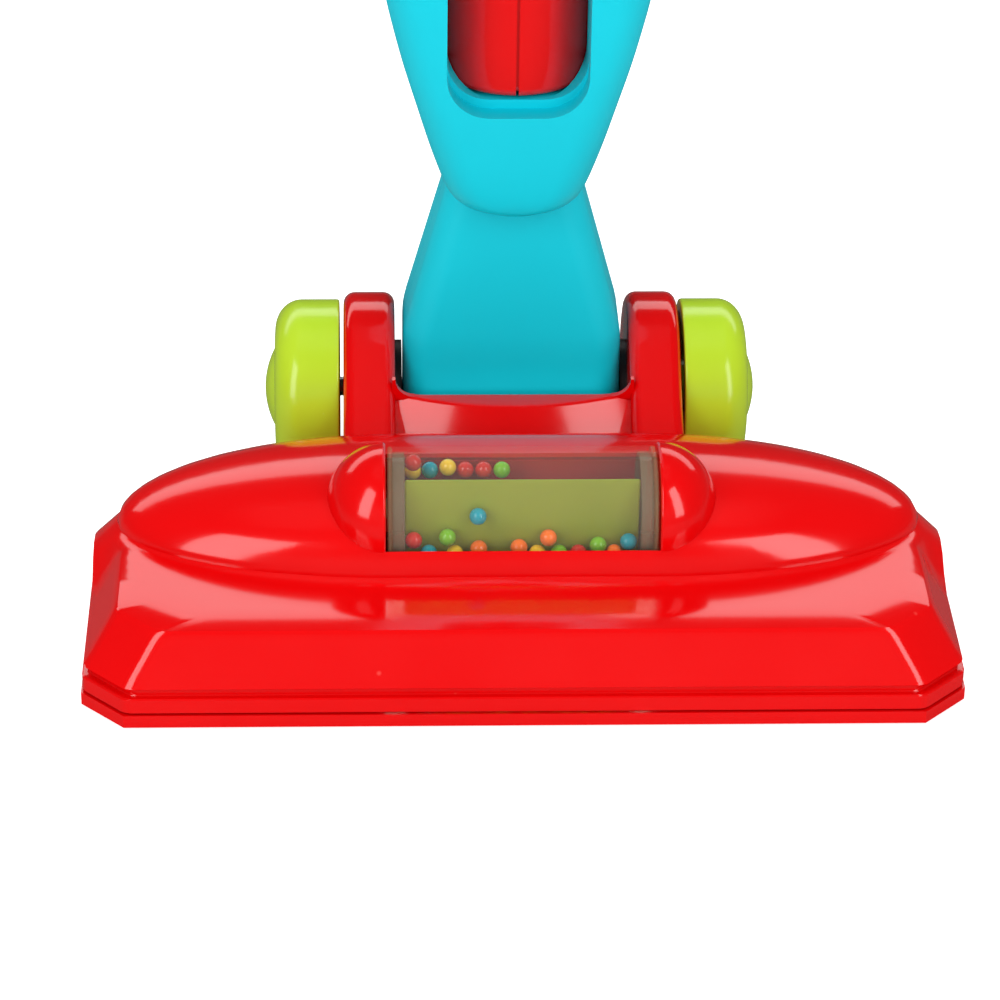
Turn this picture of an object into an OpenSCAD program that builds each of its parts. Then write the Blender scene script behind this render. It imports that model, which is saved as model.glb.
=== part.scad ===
// Toddler's toy vacuum cleaner: a floor head with a bead drum and two rear wheels, a neck that tilts
// between two ears, a body that holds a round canister, and a loop handle.
// X runs across the head, -Y is the front and the floor is Z = 0. Depths are counted from the front lip.

/* [Floor head] */
// Width of the floor head
head_w = 260; // [242:1:278]
// Depth of the straight bar, from its front lip to its back edge
bar_depth = 90; // [86:1:94]
// Height of the bar's flat top
bar_top_z = 29; // [28:0.5:31]
// Thickness of the moulded walls
wall = 2.4; // [2:0.1:2.8]
// Height of the parting line between base plate and shell
base_top_z = 4.8; // [4.4:0.1:5.2]
// Gap between the floor and the base plate's rim
base_clear = 0.8; // [0.5:0.1:1.2]
// Thickness of the base plate inside its rim
base_plate_t = 2; // [1.6:0.1:2.4]
// Height of the shell's lower flange
flange_h = 5; // [4:0.1:6]
// Height of the shadow groove above the flange
groove_h = 3; // [2:0.1:4]
// Depth of the shadow groove
groove_depth = 2; // [1.4:0.1:2.6]
// How far the front bevel leans back
bevel_in = 9; // [7:0.5:11]
// How far the side bevels lean in
side_bevel_in = 11; // [9:0.5:13]
// Length cut off the bar's front corners
corner_cut = 13; // [10:0.5:16]
// Radius of the bar's back corners
back_corner_r = 12; // [9:0.5:15]

/* [Dome] */
// Depth of the dome's centre
dome_d = 71.6; // [69:0.2:74]
// Distance from the head's side to the dome's tip
dome_side_in = 8.5; // [7.5:0.5:11]
// Half the dome's depth
dome_half_d = 37.1; // [35:0.1:39]
// Rise of the dome above the bar's flat top
dome_rise = 24.5; // [22:0.5:27]

/* [Bead drum] */
// Radius of the clear drum
drum_r = 18.5; // [18:0.1:19]
// Length of the drum over its end plugs
drum_l = 80; // [70:1:90]
// Depth of the drum's axis
drum_d = 57; // [56:0.5:58]
// Height of the drum's axis
drum_z = 41.1; // [40.5:0.1:42]
// Wall of the clear tube
tube_wall = 1.5; // [1.2:0.1:1.8]
// Thickness of the end plugs' flanges
plug_flange_t = 1.5; // [1.2:0.1:2]
// Depth of the end plugs' spigots
plug_spigot_l = 3.6; // [3:0.1:4.5]
// Radius of the drum's pins
pin_r = 3; // [2.5:0.1:3.4]
// Length of the drum's pins
pin_l = 6; // [5:0.1:7]
// Distance from the drum's axis to the core's corners
core_r = 16.3; // [15.5:0.1:16.6]
// Radius of a bead
bead_r = 2.55; // [2.3:0.05:2.6]
// Side gap between the drum and its bosses
drum_side_gap = 0.7; // [0.4:0.1:1]
// Rise of the bosses over the drum's radius
boss_over = 0.6; // [0.3:0.1:1]
// Gap from the drum to the window's front edge
window_gap = 2; // [1.4:0.1:2.6]

/* [Drive roller] */
// Radius of the roller's shaft
shaft_r = 2; // [1.6:0.1:2.4]
// Length of the roller
roller_l = 66; // [56:1:68]
// Width of each rubber tyre
roller_tyre_w = 14; // [10:1:20]
// Thickness of the rubber tyres
roller_tyre_t = 2; // [1.5:0.1:2.5]

/* [Wheels and ears] */
// Depth of the wheel axle
axle_d = 158; // [155:0.5:161]
// Radius of the rear wheels
wheel_r = 28; // [27:0.5:29]
// Width of a wheel's tread
wheel_w = 18.2; // [16:0.2:20]
// Rounding of a wheel's outer edge
wheel_edge_r = 5; // [4:0.5:6]
// Radius of the axle
axle_r = 3; // [2.5:0.1:3.4]
// Gap between ear and wheel
wheel_gap = 1.3; // [0.8:0.1:1.8]
// Radius of a hub cap
cap_r = 16.5; // [15:0.5:18]
// Rise of a hub cap's rim over the wheel's face
cap_rim_h = 1.7; // [1.2:0.1:2.2]
// Rise of a hub cap's dome over its rim
cap_dome_h = 4; // [3:0.1:5]
// Half the gap between the ears
ear_in = 37; // [35:0.5:39]
// Width of an ear
ear_w = 16.3; // [14:0.1:18]
// Height of an ear's edge over the wheel
ear_over = 2.3; // [1.5:0.1:3]
// Height of the cross wall between the ears
cross_wall_z = 40; // [38:0.5:42]
// Radius of the pivot washers
washer_r = 15; // [13:0.5:17]

/* [Neck] */
// Radius of the neck's barrel
barrel_r = 22; // [21:0.5:22.5]
// Gap between neck and ear
neck_gap = 2.5; // [2:0.1:3]
// Height where the neck starts to taper
taper_z = 54; // [52:0.5:56]
// Height of the neck's top inside the body
neck_top_z = 126; // [122:0.5:130]
// Width of the neck's top
neck_top_w = 30; // [27:0.5:33]
// Depth of the neck at its taper
neck_depth = 38; // [35:0.5:40]
// Depth of the neck's top
neck_top_depth = 30; // [27:0.5:32]
// Rounding of the neck's upright edges
neck_edge_r = 9; // [7:0.5:10]

/* [Body] */
// Height of the chin's lowest face
chin_z = 101; // [99:0.5:103]
// Width of the chin's lowest face
chin_w = 24; // [22:0.5:28]
// Height where the chin's rounding ends
jaw_z = 106; // [105:0.5:108]
// Width at the end of the chin's rounding
jaw_w = 40; // [37:0.5:43]
// Height of the recess's front rim
rim_z = 136.5; // [134:0.5:138]
// Width at the front rim
rim_w = 61.5; // [58:0.5:65]
// Height of the flare over the rim
flare_z = 172; // [166:1:178]
// Width of the flare
flare_w = 80; // [77:0.5:81]
// Height where the body is widest
belly_z = 205; // [198:1:212]
// Greatest width of the body
body_w = 87; // [86:0.5:90]
// Height of the body's shoulders
shoulder_z = 250; // [244:1:254]
// Width of the shoulders
shoulder_w = 82; // [79:0.5:84]
// Height of the slope above the shoulders
slope_z = 290; // [286:1:294]
// Width of the slope
slope_w = 62; // [60:0.5:65]
// Height of the collar
collar_z = 318; // [312:1:324]
// Width of the collar
collar_w = 38; // [34:0.5:42]
// Height of the body's top
body_top_z = 330; // [327:0.5:336]
// Reach of the body in front of the axle
body_front = 33; // [31:0.5:34]
// Reach of the body behind the axle
body_back = 27; // [26:0.5:28]
// Rounding of the body's upright edges
body_edge_r = 12; // [10:0.5:14]

/* [Canister] */
// Radius of the canister
canister_r = 24; // [23:0.2:24.4]
// Height of the canister's lowest face
canister_z = 139.7; // [139:0.1:141]
// Height where the canister's round top starts
canister_dome_z = 244; // [236:1:248]
// Rounding of the canister's lower edge
canister_edge_r = 3; // [2:0.5:4]
// Half the width of the front slot that shows the canister
slot_half_w = 21.5; // [20:0.5:22.5]
// Width of the groove along the canister's seam
seam_w = 0.9; // [0.6:0.1:1.2]

/* [Handle] */
// Depth of the handle's stem
handle_d = 152; // [150:0.5:153]
// Radius of the stem
stem_r = 12; // [11:0.5:13]
// Depth of the stem's socket in the body
socket_l = 40; // [34:1:44]
// Radius of the loop's tube
loop_tube_r = 9; // [8.5:0.1:9.5]
// Radius of the loop's bends
loop_bend_r = 25; // [23:0.5:26]
// Half the straight length of the loop
loop_half_l = 26; // [20:1:32]
// Height of the loop's middle
loop_z = 472; // [462:1:490]
// Thickness of the grip sleeve
sleeve_t = 1.6; // [1.2:0.1:2]

/* [Screws] */
// Radius of the screws' shanks
screw_r = 1.4; // [1.2:0.1:1.6]
// Radius of the screws' heads
screw_head_r = 2.8; // [2.4:0.1:3]
// Height of the screws' heads
screw_head_h = 2; // [1.6:0.1:2.4]
// Length of the screws' shanks
screw_l = 11; // [9:0.5:13]

/* [Hidden] */
$fn = 64;
hull_fn = 32;

// Fits and gaps
overrun = 5;
slice_t = 0.1;
run_fit = 0.05;
seat_fit = 0.1;
clear_gap = 0.3;
roller_floor_gap = 0.1;
neck_fit = 0.15;
parting_gap = 0.4;

// Moulded colours
red = "#f01a1c";
teal = "#00bbc9";
lime = "#c1df31";
clear = [0.85, 0.9, 0.88, 0.35];
steel = "#b9bdc0";
black = "#26282a";

// Head
shell_z = base_top_z + parting_gap;
groove_z = shell_z + flange_h;
bevel_z = groove_z + groove_h;
flange_in = 0.4;
bevel_start_in = 1;
half_w = head_w / 2;
dome_half_w = half_w - dome_side_in;
rim_t = 3;
runner_w = 30;
runner_depth = 10;
runner_d = 20;
runner_side_in = 36;
post_r = 4;
post_front_d = 20;
post_outer_side_in = 30;
post_inner_x = 42;
post_x = [half_w - post_outer_side_in, post_inner_x];

// Wheels and ears
axle_z = wheel_r;
ear_out = ear_in + ear_w;
ear_r = wheel_r + ear_over;
wheel_in = ear_out + wheel_gap;
wheel_out = wheel_in + wheel_w;
total_depth = axle_d + ear_r;
cross_wall_gap = 4.8;
cross_wall_t = 7.2;
wall_back_d = axle_d - barrel_r - cross_wall_gap;
wall_front_d = wall_back_d - cross_wall_t;
wall_foot_d = dome_d + dome_half_d + run_fit;
wall_foot_z = bar_top_z + wall / 2;
wall_fillet_r = 6;
tongue_back = 14;
tongue_end_d = axle_d + tongue_back;
ear_screw_x = ear_in + ear_w / 2;
ear_screw_d = wall_back_d - cross_wall_gap;

// Drum and roller
drum_half = drum_l / 2;
tube_half = drum_half - plug_flange_t;
tube_in_r = drum_r - tube_wall;
core_half = tube_half - plug_spigot_l;
core_corner_angle = 61;
core_stub_r = 4;
core_stub_l = 2;
boss_x = drum_half + drum_side_gap;
boss_r = drum_r + boss_over;
boss_wall = 2;
window_back_share = 0.5;
drum_cut_gap = 0.8;
prop_drop = 1.2;
roller_r = (drum_z - drum_r - clear_gap - roller_floor_gap) / 2;
roller_z = roller_floor_gap + roller_r;
roller_half = roller_l / 2;
bracket_w = 4;
bracket_wall = 3;
bracket_x = roller_half + 2 * clear_gap;
roller_slot_gap = 1.2;

// Neck, body and canister
neck_half_w = ear_in - neck_gap;
barrel_edge_r = 6;
barrel_end_t = 7;
column_in = 0.3;
column_draft = 0.4;
washer_in = neck_half_w + clear_gap;
pocket_r = canister_r + clear_gap;
pocket_z = canister_z - seat_fit;
canister_wall = 2;
seam_depth = 1;
slot_corner_r = 8;
chin_setback = 7;
jaw_setback = 4;
rim_setback = 1.5;
chin_back_in = 6;
slope_back_in = 3;
collar_depth = 38;

// Screws
screw_hole_r = screw_r + seat_fit;
head_hole_r = screw_head_r + clear_gap;
screw_seat = 6;
screw_post_r = head_hole_r + wall / 2;
neck_screw_zs = [taper_z + 2 * screw_post_r, chin_z - 2 * screw_post_r];
body_screw_x = flare_w / 2 - 2 * screw_post_r;
body_screw_zs = [flare_z, shoulder_z];
handle_seat = 4.5;
stem_screw_zs = [body_top_z + 2 * stem_r, loop_z - loop_half_l - loop_bend_r - 2 * stem_r];

// Bead places: face of the core, then shares of the core's length, of the way along that face and of
// a bead's radius above it
red_bead_shares = [
    [0, -1, -0.52, 0], [1, -1, -0.3, 1.1], [1, -0.51, -1, 0.3], [1, -0.34, -1, 0.3], [0, 0.52, -1, 0]
];
yellow_bead_shares = [[1, -1, -1, 0.2], [1, -0.675, -0.9, 0.6], [0, -0.62, -1, 0], [0, 0.14, -1, 0]];
blue_bead_shares = [[1, -0.84, -1, 0.3], [0, -0.41, 0.33, 0], [0, -0.86, -1, 0.1], [0, 0.98, -0.6, 0]];
green_bead_shares = [[1, -0.17, -1, 0.3], [0, -0.69, -0.42, 0], [0, 0.7, -0.72, 0], [0, 0.34, -1, 0]];
orange_bead_shares = [[0, -0.4, -0.83, 0], [0, -0.03, -0.79, 0], [0, 0.24, -0.45, 0], [0, 0.85, -1, 0]];

module placed() {
    translate([0, -total_depth / 2, 0])
        children();
}

// A flat (depth, height) profile made solid across the object, from x0
module across(x0, w) {
    translate([x0, 0, 0])
        rotate([90, 0, 90])
            linear_extrude(w)
                children();
}

module rod_x(r, x0, x1, d, z) {
    translate([x0, d, z])
        rotate([0, 90, 0])
            cylinder(r = r, h = x1 - x0);
}

module rod_y(r, d0, d1, x, z) {
    translate([x, d1, z])
        rotate([90, 0, 0])
            cylinder(r = r, h = d1 - d0);
}

module slab(x0, x1, d0, d1, z0, z1) {
    translate([x0, d0, z0])
        cube([x1 - x0, d1 - d0, z1 - z0]);
}

// A thin rounded rectangle at height z, from front to back, as one section of a loft
module section(z, w, front, back, r) {
    for (x = [-w / 2 + r, w / 2 - r], d = [front + r, back - r])
        translate([x, d, z])
            cylinder(r = r, h = slice_t, $fn = hull_fn);
}

// Screw along +Z with the underside of its head at the origin
module screw() {
    translate([0, 0, -screw_head_h])
        cylinder(r = screw_head_r, h = screw_head_h);
    cylinder(r = screw_r, h = screw_l);
}

// Floor head

function arc(x, d, r, from, to) = [for (a = [from:15:to]) [x + r * cos(a), d + r * sin(a)]];

function bar_outline(side_in, front_in, back_in) =
    let (w = half_w - side_in, b = bar_depth - back_in, r = back_corner_r)
    concat(
        [[-w + corner_cut, front_in], [w - corner_cut, front_in], [w, front_in + corner_cut]],
        arc(w - r, b - r, r, 0, 90),
        arc(-w + r, b - r, r, 90, 180),
        [[-w, front_in + corner_cut]]
    );

module oval(in) {
    translate([0, dome_d])
        scale([dome_half_w - in, dome_half_d - in])
            circle(r = 1);
}

module tongue(in, end_d) {
    translate([-ear_out + in, dome_d])
        square([2 * (ear_out - in), end_d - dome_d]);
}

module plan(in, end_d) {
    polygon(bar_outline(in, in, in));
    oval(in);
    tongue(in, end_d);
}

module bar_block(in, top_z) {
    hull() {
        translate([0, 0, bevel_z])
            linear_extrude(slice_t)
                polygon(bar_outline(bevel_start_in + in, bevel_start_in + in, bevel_start_in + in));
        translate([0, 0, top_z - slice_t])
            linear_extrude(slice_t)
                polygon(bar_outline(side_bevel_in + in, bevel_in + in, bevel_start_in + in));
    }
}

module dome(in) {
    intersection() {
        translate([0, dome_d, bar_top_z])
            scale([dome_half_w - in, dome_half_d - in, dome_rise - in])
                sphere(r = 1);
        slab(-half_w, half_w, 0, total_depth, bevel_z, bar_top_z + 2 * dome_rise);
    }
}

module lower_block(in, z0, z1) {
    translate([0, 0, z0])
        linear_extrude(z1 - z0)
            plan(in, wall_foot_d);
}

module upper_skirt(in, z0, z1) {
    translate([0, 0, z0])
        linear_extrude(z1 - z0) {
            oval(in);
            tongue(in, wall_foot_d);
        }
}

module head_outer() {
    lower_block(flange_in, shell_z, groove_z);
    lower_block(flange_in + groove_depth, groove_z, bevel_z + slice_t);
    bar_block(0, bar_top_z);
    upper_skirt(0, bevel_z, bar_top_z);
    dome(0);
}

module head_inner() {
    lower_block(flange_in + groove_depth + wall, shell_z - overrun, bevel_z + wall);
    bar_block(groove_depth / 2 + wall, bar_top_z - wall);
    upper_skirt(wall, bevel_z + wall - slice_t, bar_top_z - wall);
    dome(wall);
}

module ear_profile() {
    run = [axle_d - wall_front_d, axle_z - cross_wall_z];
    tangent_angle = 180 - atan2(-run[1], run[0]) - acos(ear_r / norm(run));
    difference() {
        union() {
            translate([axle_d, axle_z])
                circle(r = ear_r);
            polygon([
                [wall_foot_d - wall, shell_z],
                [wall_foot_d - wall, wall_foot_z],
                [wall_front_d, cross_wall_z],
                [axle_d + ear_r * cos(tangent_angle), axle_z + ear_r * sin(tangent_angle)],
                [axle_d, axle_z],
                [axle_d, shell_z]
            ]);
        }
        translate([0, shell_z - 2 * ear_r])
            square([2 * total_depth, 2 * ear_r]);
    }
}

module cross_wall() {
    across(-ear_in, 2 * ear_in)
        polygon([
            [wall_foot_d - wall, shell_z],
            [wall_foot_d - wall, wall_foot_z],
            [wall_front_d, cross_wall_z],
            [wall_back_d, cross_wall_z],
            [wall_back_d, shell_z]
        ]);
    // Rounded inner corners between the wall and the ears
    for (side = [-1, 1])
        difference() {
            slab(
                side * ear_in - wall_fillet_r * (1 + side) / 2,
                side * ear_in + wall_fillet_r * (1 - side) / 2,
                wall_front_d, wall_back_d, cross_wall_z, cross_wall_z + wall_fillet_r
            );
            rod_y(
                wall_fillet_r, wall_front_d - overrun, wall_back_d + overrun,
                side * (ear_in - wall_fillet_r), cross_wall_z + wall_fillet_r
            );
        }
}

module ears() {
    for (x0 = [-ear_out, ear_in])
        across(x0, ear_w)
            ear_profile();
    cross_wall();
}

// Half-round bosses beside the window, slotted below for the drum's pins
module drum_bosses() {
    for (side = [-1, 1])
        difference() {
            translate([side * boss_x, drum_d, drum_z])
                sphere(r = boss_r);
            slab(
                side * boss_x - boss_r * (1 + side), side * boss_x + boss_r * (1 - side),
                drum_d - 2 * boss_r, drum_d + 2 * boss_r, drum_z - 2 * boss_r, drum_z + 2 * boss_r
            );
        }
}

module pin_slots() {
    slot_l = pin_l + boss_wall;
    slot_half = pin_r + run_fit;
    for (x0 = [boss_x, -boss_x - slot_l]) {
        rod_x(slot_half, x0, x0 + slot_l, drum_d, drum_z);
        slab(x0, x0 + slot_l, drum_d - slot_half, drum_d + slot_half, drum_z - 2 * boss_r, drum_z);
    }
}

module window() {
    slab(
        -boss_x, boss_x, drum_d - drum_r - window_gap, drum_d + window_back_share * drum_r,
        drum_z - window_gap * 2, bar_top_z + 2 * dome_rise
    );
    rod_x(drum_r + drum_cut_gap, -boss_x, boss_x, drum_d, drum_z);
}

module base_screw_places() {
    for (side = [-1, 1]) {
        for (x = post_x)
            translate([side * x, post_front_d, base_clear + base_plate_t])
                children();
        translate([side * ear_screw_x, ear_screw_d, base_clear + base_plate_t])
            children();
    }
}

module head_shell() {
    color(red) placed()
        difference() {
            union() {
                difference() {
                    head_outer();
                    head_inner();
                }
                ears();
                drum_bosses();
                for (side = [-1, 1], x = post_x)
                    translate([side * x, post_front_d, shell_z])
                        cylinder(r = post_r, h = bar_top_z - wall / 2 - shell_z);
            }
            window();
            pin_slots();
            rod_x(axle_r + run_fit, -ear_out - overrun, ear_out + overrun, axle_d, axle_z);
            base_screw_places()
                cylinder(r = screw_hole_r, h = screw_l + clear_gap);
        }
}

module base_plate() {
    slot_half_d = roller_r + roller_slot_gap;
    color(red) placed()
        difference() {
            union() {
                translate([0, 0, base_clear])
                    linear_extrude(base_top_z - base_clear)
                        plan(0, tongue_end_d);
                for (side = [-1, 1]) {
                    runner(side, 0);
                    roller_bracket(side);
                    drum_prop(side);
                }
            }
            difference() {
                translate([0, 0, base_clear - overrun])
                    linear_extrude(base_top_z - base_plate_t - base_clear + overrun)
                        plan(rim_t, tongue_end_d - rim_t);
                for (side = [-1, 1])
                    runner(side, -overrun);
            }
            slab(
                -bracket_x, bracket_x, drum_d - slot_half_d, drum_d + slot_half_d,
                -overrun, base_top_z + overrun
            );
            base_screw_places()
                translate([0, 0, -overrun])
                    cylinder(r = screw_hole_r, h = 2 * overrun + base_top_z);
            base_screw_places()
                translate([0, 0, -overrun])
                    cylinder(r = head_hole_r, h = overrun);
        }
}

// Foot under the bar's front
module runner(side, z0) {
    x = side * (half_w - runner_side_in);
    slab(
        x - runner_w / 2, x + runner_w / 2, runner_d - runner_depth / 2, runner_d + runner_depth / 2,
        z0, base_top_z
    );
}

// Bearing of the roller's shaft
module roller_bracket(side) {
    x0 = side > 0 ? bracket_x : -bracket_x - bracket_w;
    difference() {
        across(x0, bracket_w) {
            translate([drum_d, roller_z])
                circle(r = shaft_r + bracket_wall);
            translate([drum_d - shaft_r - bracket_wall, base_top_z - base_plate_t])
                square([2 * (shaft_r + bracket_wall), roller_z - base_top_z + base_plate_t]);
        }
        rod_x(shaft_r + run_fit, x0 - overrun, x0 + bracket_w + overrun, drum_d, roller_z);
    }
}

// Post that closes the slot below the drum's pin
module drum_prop(side) {
    x0 = side > 0 ? boss_x + clear_gap : -boss_x - pin_l + clear_gap;
    half = pin_r - clear_gap;
    difference() {
        slab(
            x0, x0 + pin_l - 2 * clear_gap, drum_d - half, drum_d + half,
            base_top_z - base_plate_t, drum_z - prop_drop
        );
        rod_x(pin_r + run_fit, x0 - overrun, x0 + pin_l + overrun, drum_d, drum_z);
    }
}

module base_screws() {
    color(steel) placed()
        base_screw_places()
            screw();
}

// Bead drum

module drum_tube() {
    color(clear) placed()
        difference() {
            rod_x(drum_r, -tube_half, tube_half, drum_d, drum_z);
            rod_x(tube_in_r, -tube_half - overrun, tube_half + overrun, drum_d, drum_z);
        }
}

module drum_end() {
    difference() {
        union() {
            rod_x(drum_r, tube_half, drum_half, drum_d, drum_z);
            rod_x(tube_in_r - seat_fit, core_half, tube_half + slice_t, drum_d, drum_z);
            rod_x(pin_r, drum_half - slice_t, drum_half + pin_l, drum_d, drum_z);
        }
        rod_x(
            core_stub_r + seat_fit, core_half - overrun, core_half + core_stub_l + seat_fit, drum_d, drum_z
        );
    }
}

module drum_end_left() {
    color(clear) placed()
        mirror([1, 0, 0])
            drum_end();
}

module drum_end_right() {
    color(clear) placed()
        drum_end();
}

module drum_core() {
    color(lime) placed() {
        across(-core_half, 2 * core_half)
            polygon([
                for (k = [0:2])
                    let (a = 180 - core_corner_angle - 120 * k)
                    [drum_d + core_r * cos(a), drum_z + core_r * sin(a)]
            ]);
        rod_x(core_stub_r, -core_half - core_stub_l, core_half + core_stub_l, drum_d, drum_z);
    }
}

// Beads lie on the core's faces: face 0 looks forward and face 1 looks up and back
module beads(shares) {
    rest = core_r / 2 + bead_r + seat_fit;
    reach = tube_in_r - bead_r - seat_fit;
    end = core_half - bead_r - seat_fit;
    for (s = shares) {
        normal = core_corner_angle - 60 + 120 * s[0];
        up = s[0] == 0 ? normal + 90 : normal - 90;
        n = rest + s[3] * bead_r;
        t = s[2] * sqrt(reach * reach - n * n);
        translate([
            s[1] * end,
            drum_d - n * cos(normal) - t * cos(up),
            drum_z + n * sin(normal) + t * sin(up)
        ])
            sphere(r = bead_r);
    }
}

module beads_red() {
    color("#d22a22") placed()
        beads(red_bead_shares);
}

module beads_yellow() {
    color("#f0c030") placed()
        beads(yellow_bead_shares);
}

module beads_blue() {
    color("#0592a4") placed()
        beads(blue_bead_shares);
}

module beads_green() {
    color("#79b928") placed()
        beads(green_bead_shares);
}

module beads_orange() {
    color("#fe7420") placed()
        beads(orange_bead_shares);
}

// Drive roller, between the floor and the drum

module roller_shaft() {
    color(steel) placed()
        rod_x(shaft_r, -bracket_x - bracket_w, bracket_x + bracket_w, drum_d, roller_z);
}

module roller_core() {
    core = roller_r - roller_tyre_t;
    groove_x = roller_half - roller_tyre_w;
    color(black) placed()
        difference() {
            union() {
                rod_x(core, -roller_half, roller_half, drum_d, roller_z);
                rod_x(core + roller_tyre_t / 2, -groove_x + seat_fit, groove_x - seat_fit, drum_d, roller_z);
            }
            rod_x(shaft_r + run_fit, -roller_half - overrun, roller_half + overrun, drum_d, roller_z);
        }
}

module roller_tyres() {
    core = roller_r - roller_tyre_t;
    color(black) placed()
        for (x0 = [-roller_half, roller_half - roller_tyre_w])
            difference() {
                rod_x(roller_r, x0, x0 + roller_tyre_w, drum_d, roller_z);
                rod_x(core + run_fit, x0 - overrun, x0 + roller_tyre_w + overrun, drum_d, roller_z);
            }
}

// Wheel set

module axle() {
    end = wheel_out + cap_rim_h;
    color(steel) placed()
        rod_x(axle_r, -end, end, axle_d, axle_z);
}

// A profile of (radius, distance from the wheel's inner face) turned round the axle, on the right
module turned_on_axle() {
    translate([wheel_in, axle_d, axle_z])
        rotate([0, 90, 0])
            rotate_extrude()
                children();
}

module wheel_right_solid() {
    hub_r = axle_r + 2 * wall;
    web = wheel_w - cap_rim_h - 2 * wall;
    difference() {
        turned_on_axle() {
            square([wheel_r - wheel_edge_r, wheel_w]);
            square([wheel_r, wheel_w - wheel_edge_r]);
            translate([wheel_r - wheel_edge_r, wheel_w - wheel_edge_r])
                circle(r = wheel_edge_r);
        }
        // Hollow inner side, with a hub and six ribs left standing
        difference() {
            turned_on_axle()
                translate([hub_r, -overrun])
                    square([wheel_r - wall - hub_r, web + overrun]);
            for (k = [0:5])
                translate([wheel_in, axle_d, axle_z])
                    rotate([60 * k, 0, 0])
                        slab(clear_gap, wheel_w, -wall / 2, wall / 2, 0, wheel_r);
        }
        turned_on_axle()
            translate([0, wheel_w - cap_rim_h])
                square([cap_r + run_fit, cap_rim_h + overrun]);
        rod_x(axle_r + run_fit, wheel_in - overrun, wheel_out + overrun, axle_d, axle_z);
    }
}

module wheel_left() {
    color(lime) placed()
        mirror([1, 0, 0])
            wheel_right_solid();
}

module wheel_right() {
    color(lime) placed()
        wheel_right_solid();
}

module hub_cap_solid() {
    dome_r = cap_r - wall;
    ball_r = (dome_r * dome_r + cap_dome_h * cap_dome_h) / (2 * cap_dome_h);
    rim = wheel_w + cap_rim_h;
    difference() {
        turned_on_axle() {
            translate([0, wheel_w - cap_rim_h])
                square([cap_r, 2 * cap_rim_h]);
            intersection() {
                translate([0, rim + cap_dome_h - ball_r])
                    circle(r = ball_r);
                translate([0, rim - slice_t])
                    square([dome_r, 2 * cap_dome_h]);
            }
        }
        rod_x(axle_r + run_fit, wheel_out - overrun, wheel_in + rim + run_fit, axle_d, axle_z);
    }
}

module hub_cap_left() {
    color(lime) placed()
        mirror([1, 0, 0])
            hub_cap_solid();
}

module hub_cap_right() {
    color(lime) placed()
        hub_cap_solid();
}

module pivot_washer_solid() {
    difference() {
        rod_x(washer_r, washer_in, ear_in, axle_d, axle_z);
        rod_x(axle_r + clear_gap, washer_in - overrun, ear_in + overrun, axle_d, axle_z);
    }
}

module pivot_washer_left() {
    color(black) placed()
        mirror([1, 0, 0])
            pivot_washer_solid();
}

module pivot_washer_right() {
    color(black) placed()
        pivot_washer_solid();
}

// Neck

// Cylinder round the axle with rounded ends
module barrel() {
    translate([0, axle_d, axle_z])
        rotate([0, 90, 0])
            rotate_extrude() {
                translate([0, -neck_half_w])
                    square([barrel_r - barrel_edge_r, 2 * neck_half_w]);
                translate([0, -neck_half_w + barrel_edge_r])
                    square([barrel_r, 2 * (neck_half_w - barrel_edge_r)]);
                for (a = [-1, 1])
                    translate([barrel_r - barrel_edge_r, a * (neck_half_w - barrel_edge_r)])
                        circle(r = barrel_edge_r);
            }
}

// Tapered column above the barrel: grow is positive for a socket and negative for the hollow
module column(grow, z0, z1) {
    foot_half = neck_half_w - column_in + grow;
    foot_depth = neck_depth / 2 + grow;
    top_depth = neck_top_depth / 2 + grow;
    knee_depth = foot_depth - column_draft;
    edge = neck_edge_r + grow;
    hull() {
        section(z0, 2 * foot_half, axle_d - foot_depth, axle_d + foot_depth, edge);
        section(
            taper_z - slice_t, 2 * (foot_half - column_draft), axle_d - knee_depth, axle_d + knee_depth, edge
        );
        section(z1 - slice_t, neck_top_w + 2 * grow, axle_d - top_depth, axle_d + top_depth, edge);
    }
}

function neck_half_depth(z) =
    neck_depth / 2 + (neck_top_depth - neck_depth) / 2 * (z - taper_z) / (neck_top_z - taper_z);

module neck_solid() {
    hollow_half = neck_half_w - barrel_end_t;
    difference() {
        union() {
            difference() {
                union() {
                    barrel();
                    column(0, axle_z + barrel_edge_r, neck_top_z);
                }
                rod_x(barrel_r - wall, -hollow_half, hollow_half, axle_d, axle_z);
                column(-wall, axle_z + barrel_r - 2 * wall, neck_top_z - wall);
            }
            for (z = neck_screw_zs) {
                reach = neck_half_depth(z) - wall / 2;
                rod_y(screw_post_r, axle_d - reach, axle_d + reach, 0, z);
            }
        }
        rod_x(axle_r + run_fit, -neck_half_w - overrun, neck_half_w + overrun, axle_d, axle_z);
        for (z = neck_screw_zs)
            rear_screw_hole(0, z);
    }
}

// Screw from behind across the parting plane, its head sunk in a deep round well
module rear_screw_hole(x, z) {
    rod_y(screw_hole_r, axle_d + screw_seat - screw_l - clear_gap, axle_d + screw_seat + overrun, x, z);
    rod_y(head_hole_r, axle_d + screw_seat, axle_d + body_back + overrun, x, z);
}

module rear_screw(x, z) {
    translate([x, axle_d + screw_seat, z])
        rotate([90, 0, 0])
            screw();
}

module front_half() {
    intersection() {
        children();
        slab(-head_w, head_w, 0, axle_d, 0, 2 * loop_z);
    }
}

module rear_half() {
    intersection() {
        children();
        slab(-head_w, head_w, axle_d, 2 * total_depth, 0, 2 * loop_z);
    }
}

module neck_front() {
    color(teal) placed()
        front_half()
            neck_solid();
}

module neck_rear() {
    color(teal) placed()
        rear_half()
            neck_solid();
}

module neck_screws() {
    color(steel) placed()
        for (z = neck_screw_zs)
            rear_screw(0, z);
}

// Body and canister

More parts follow.
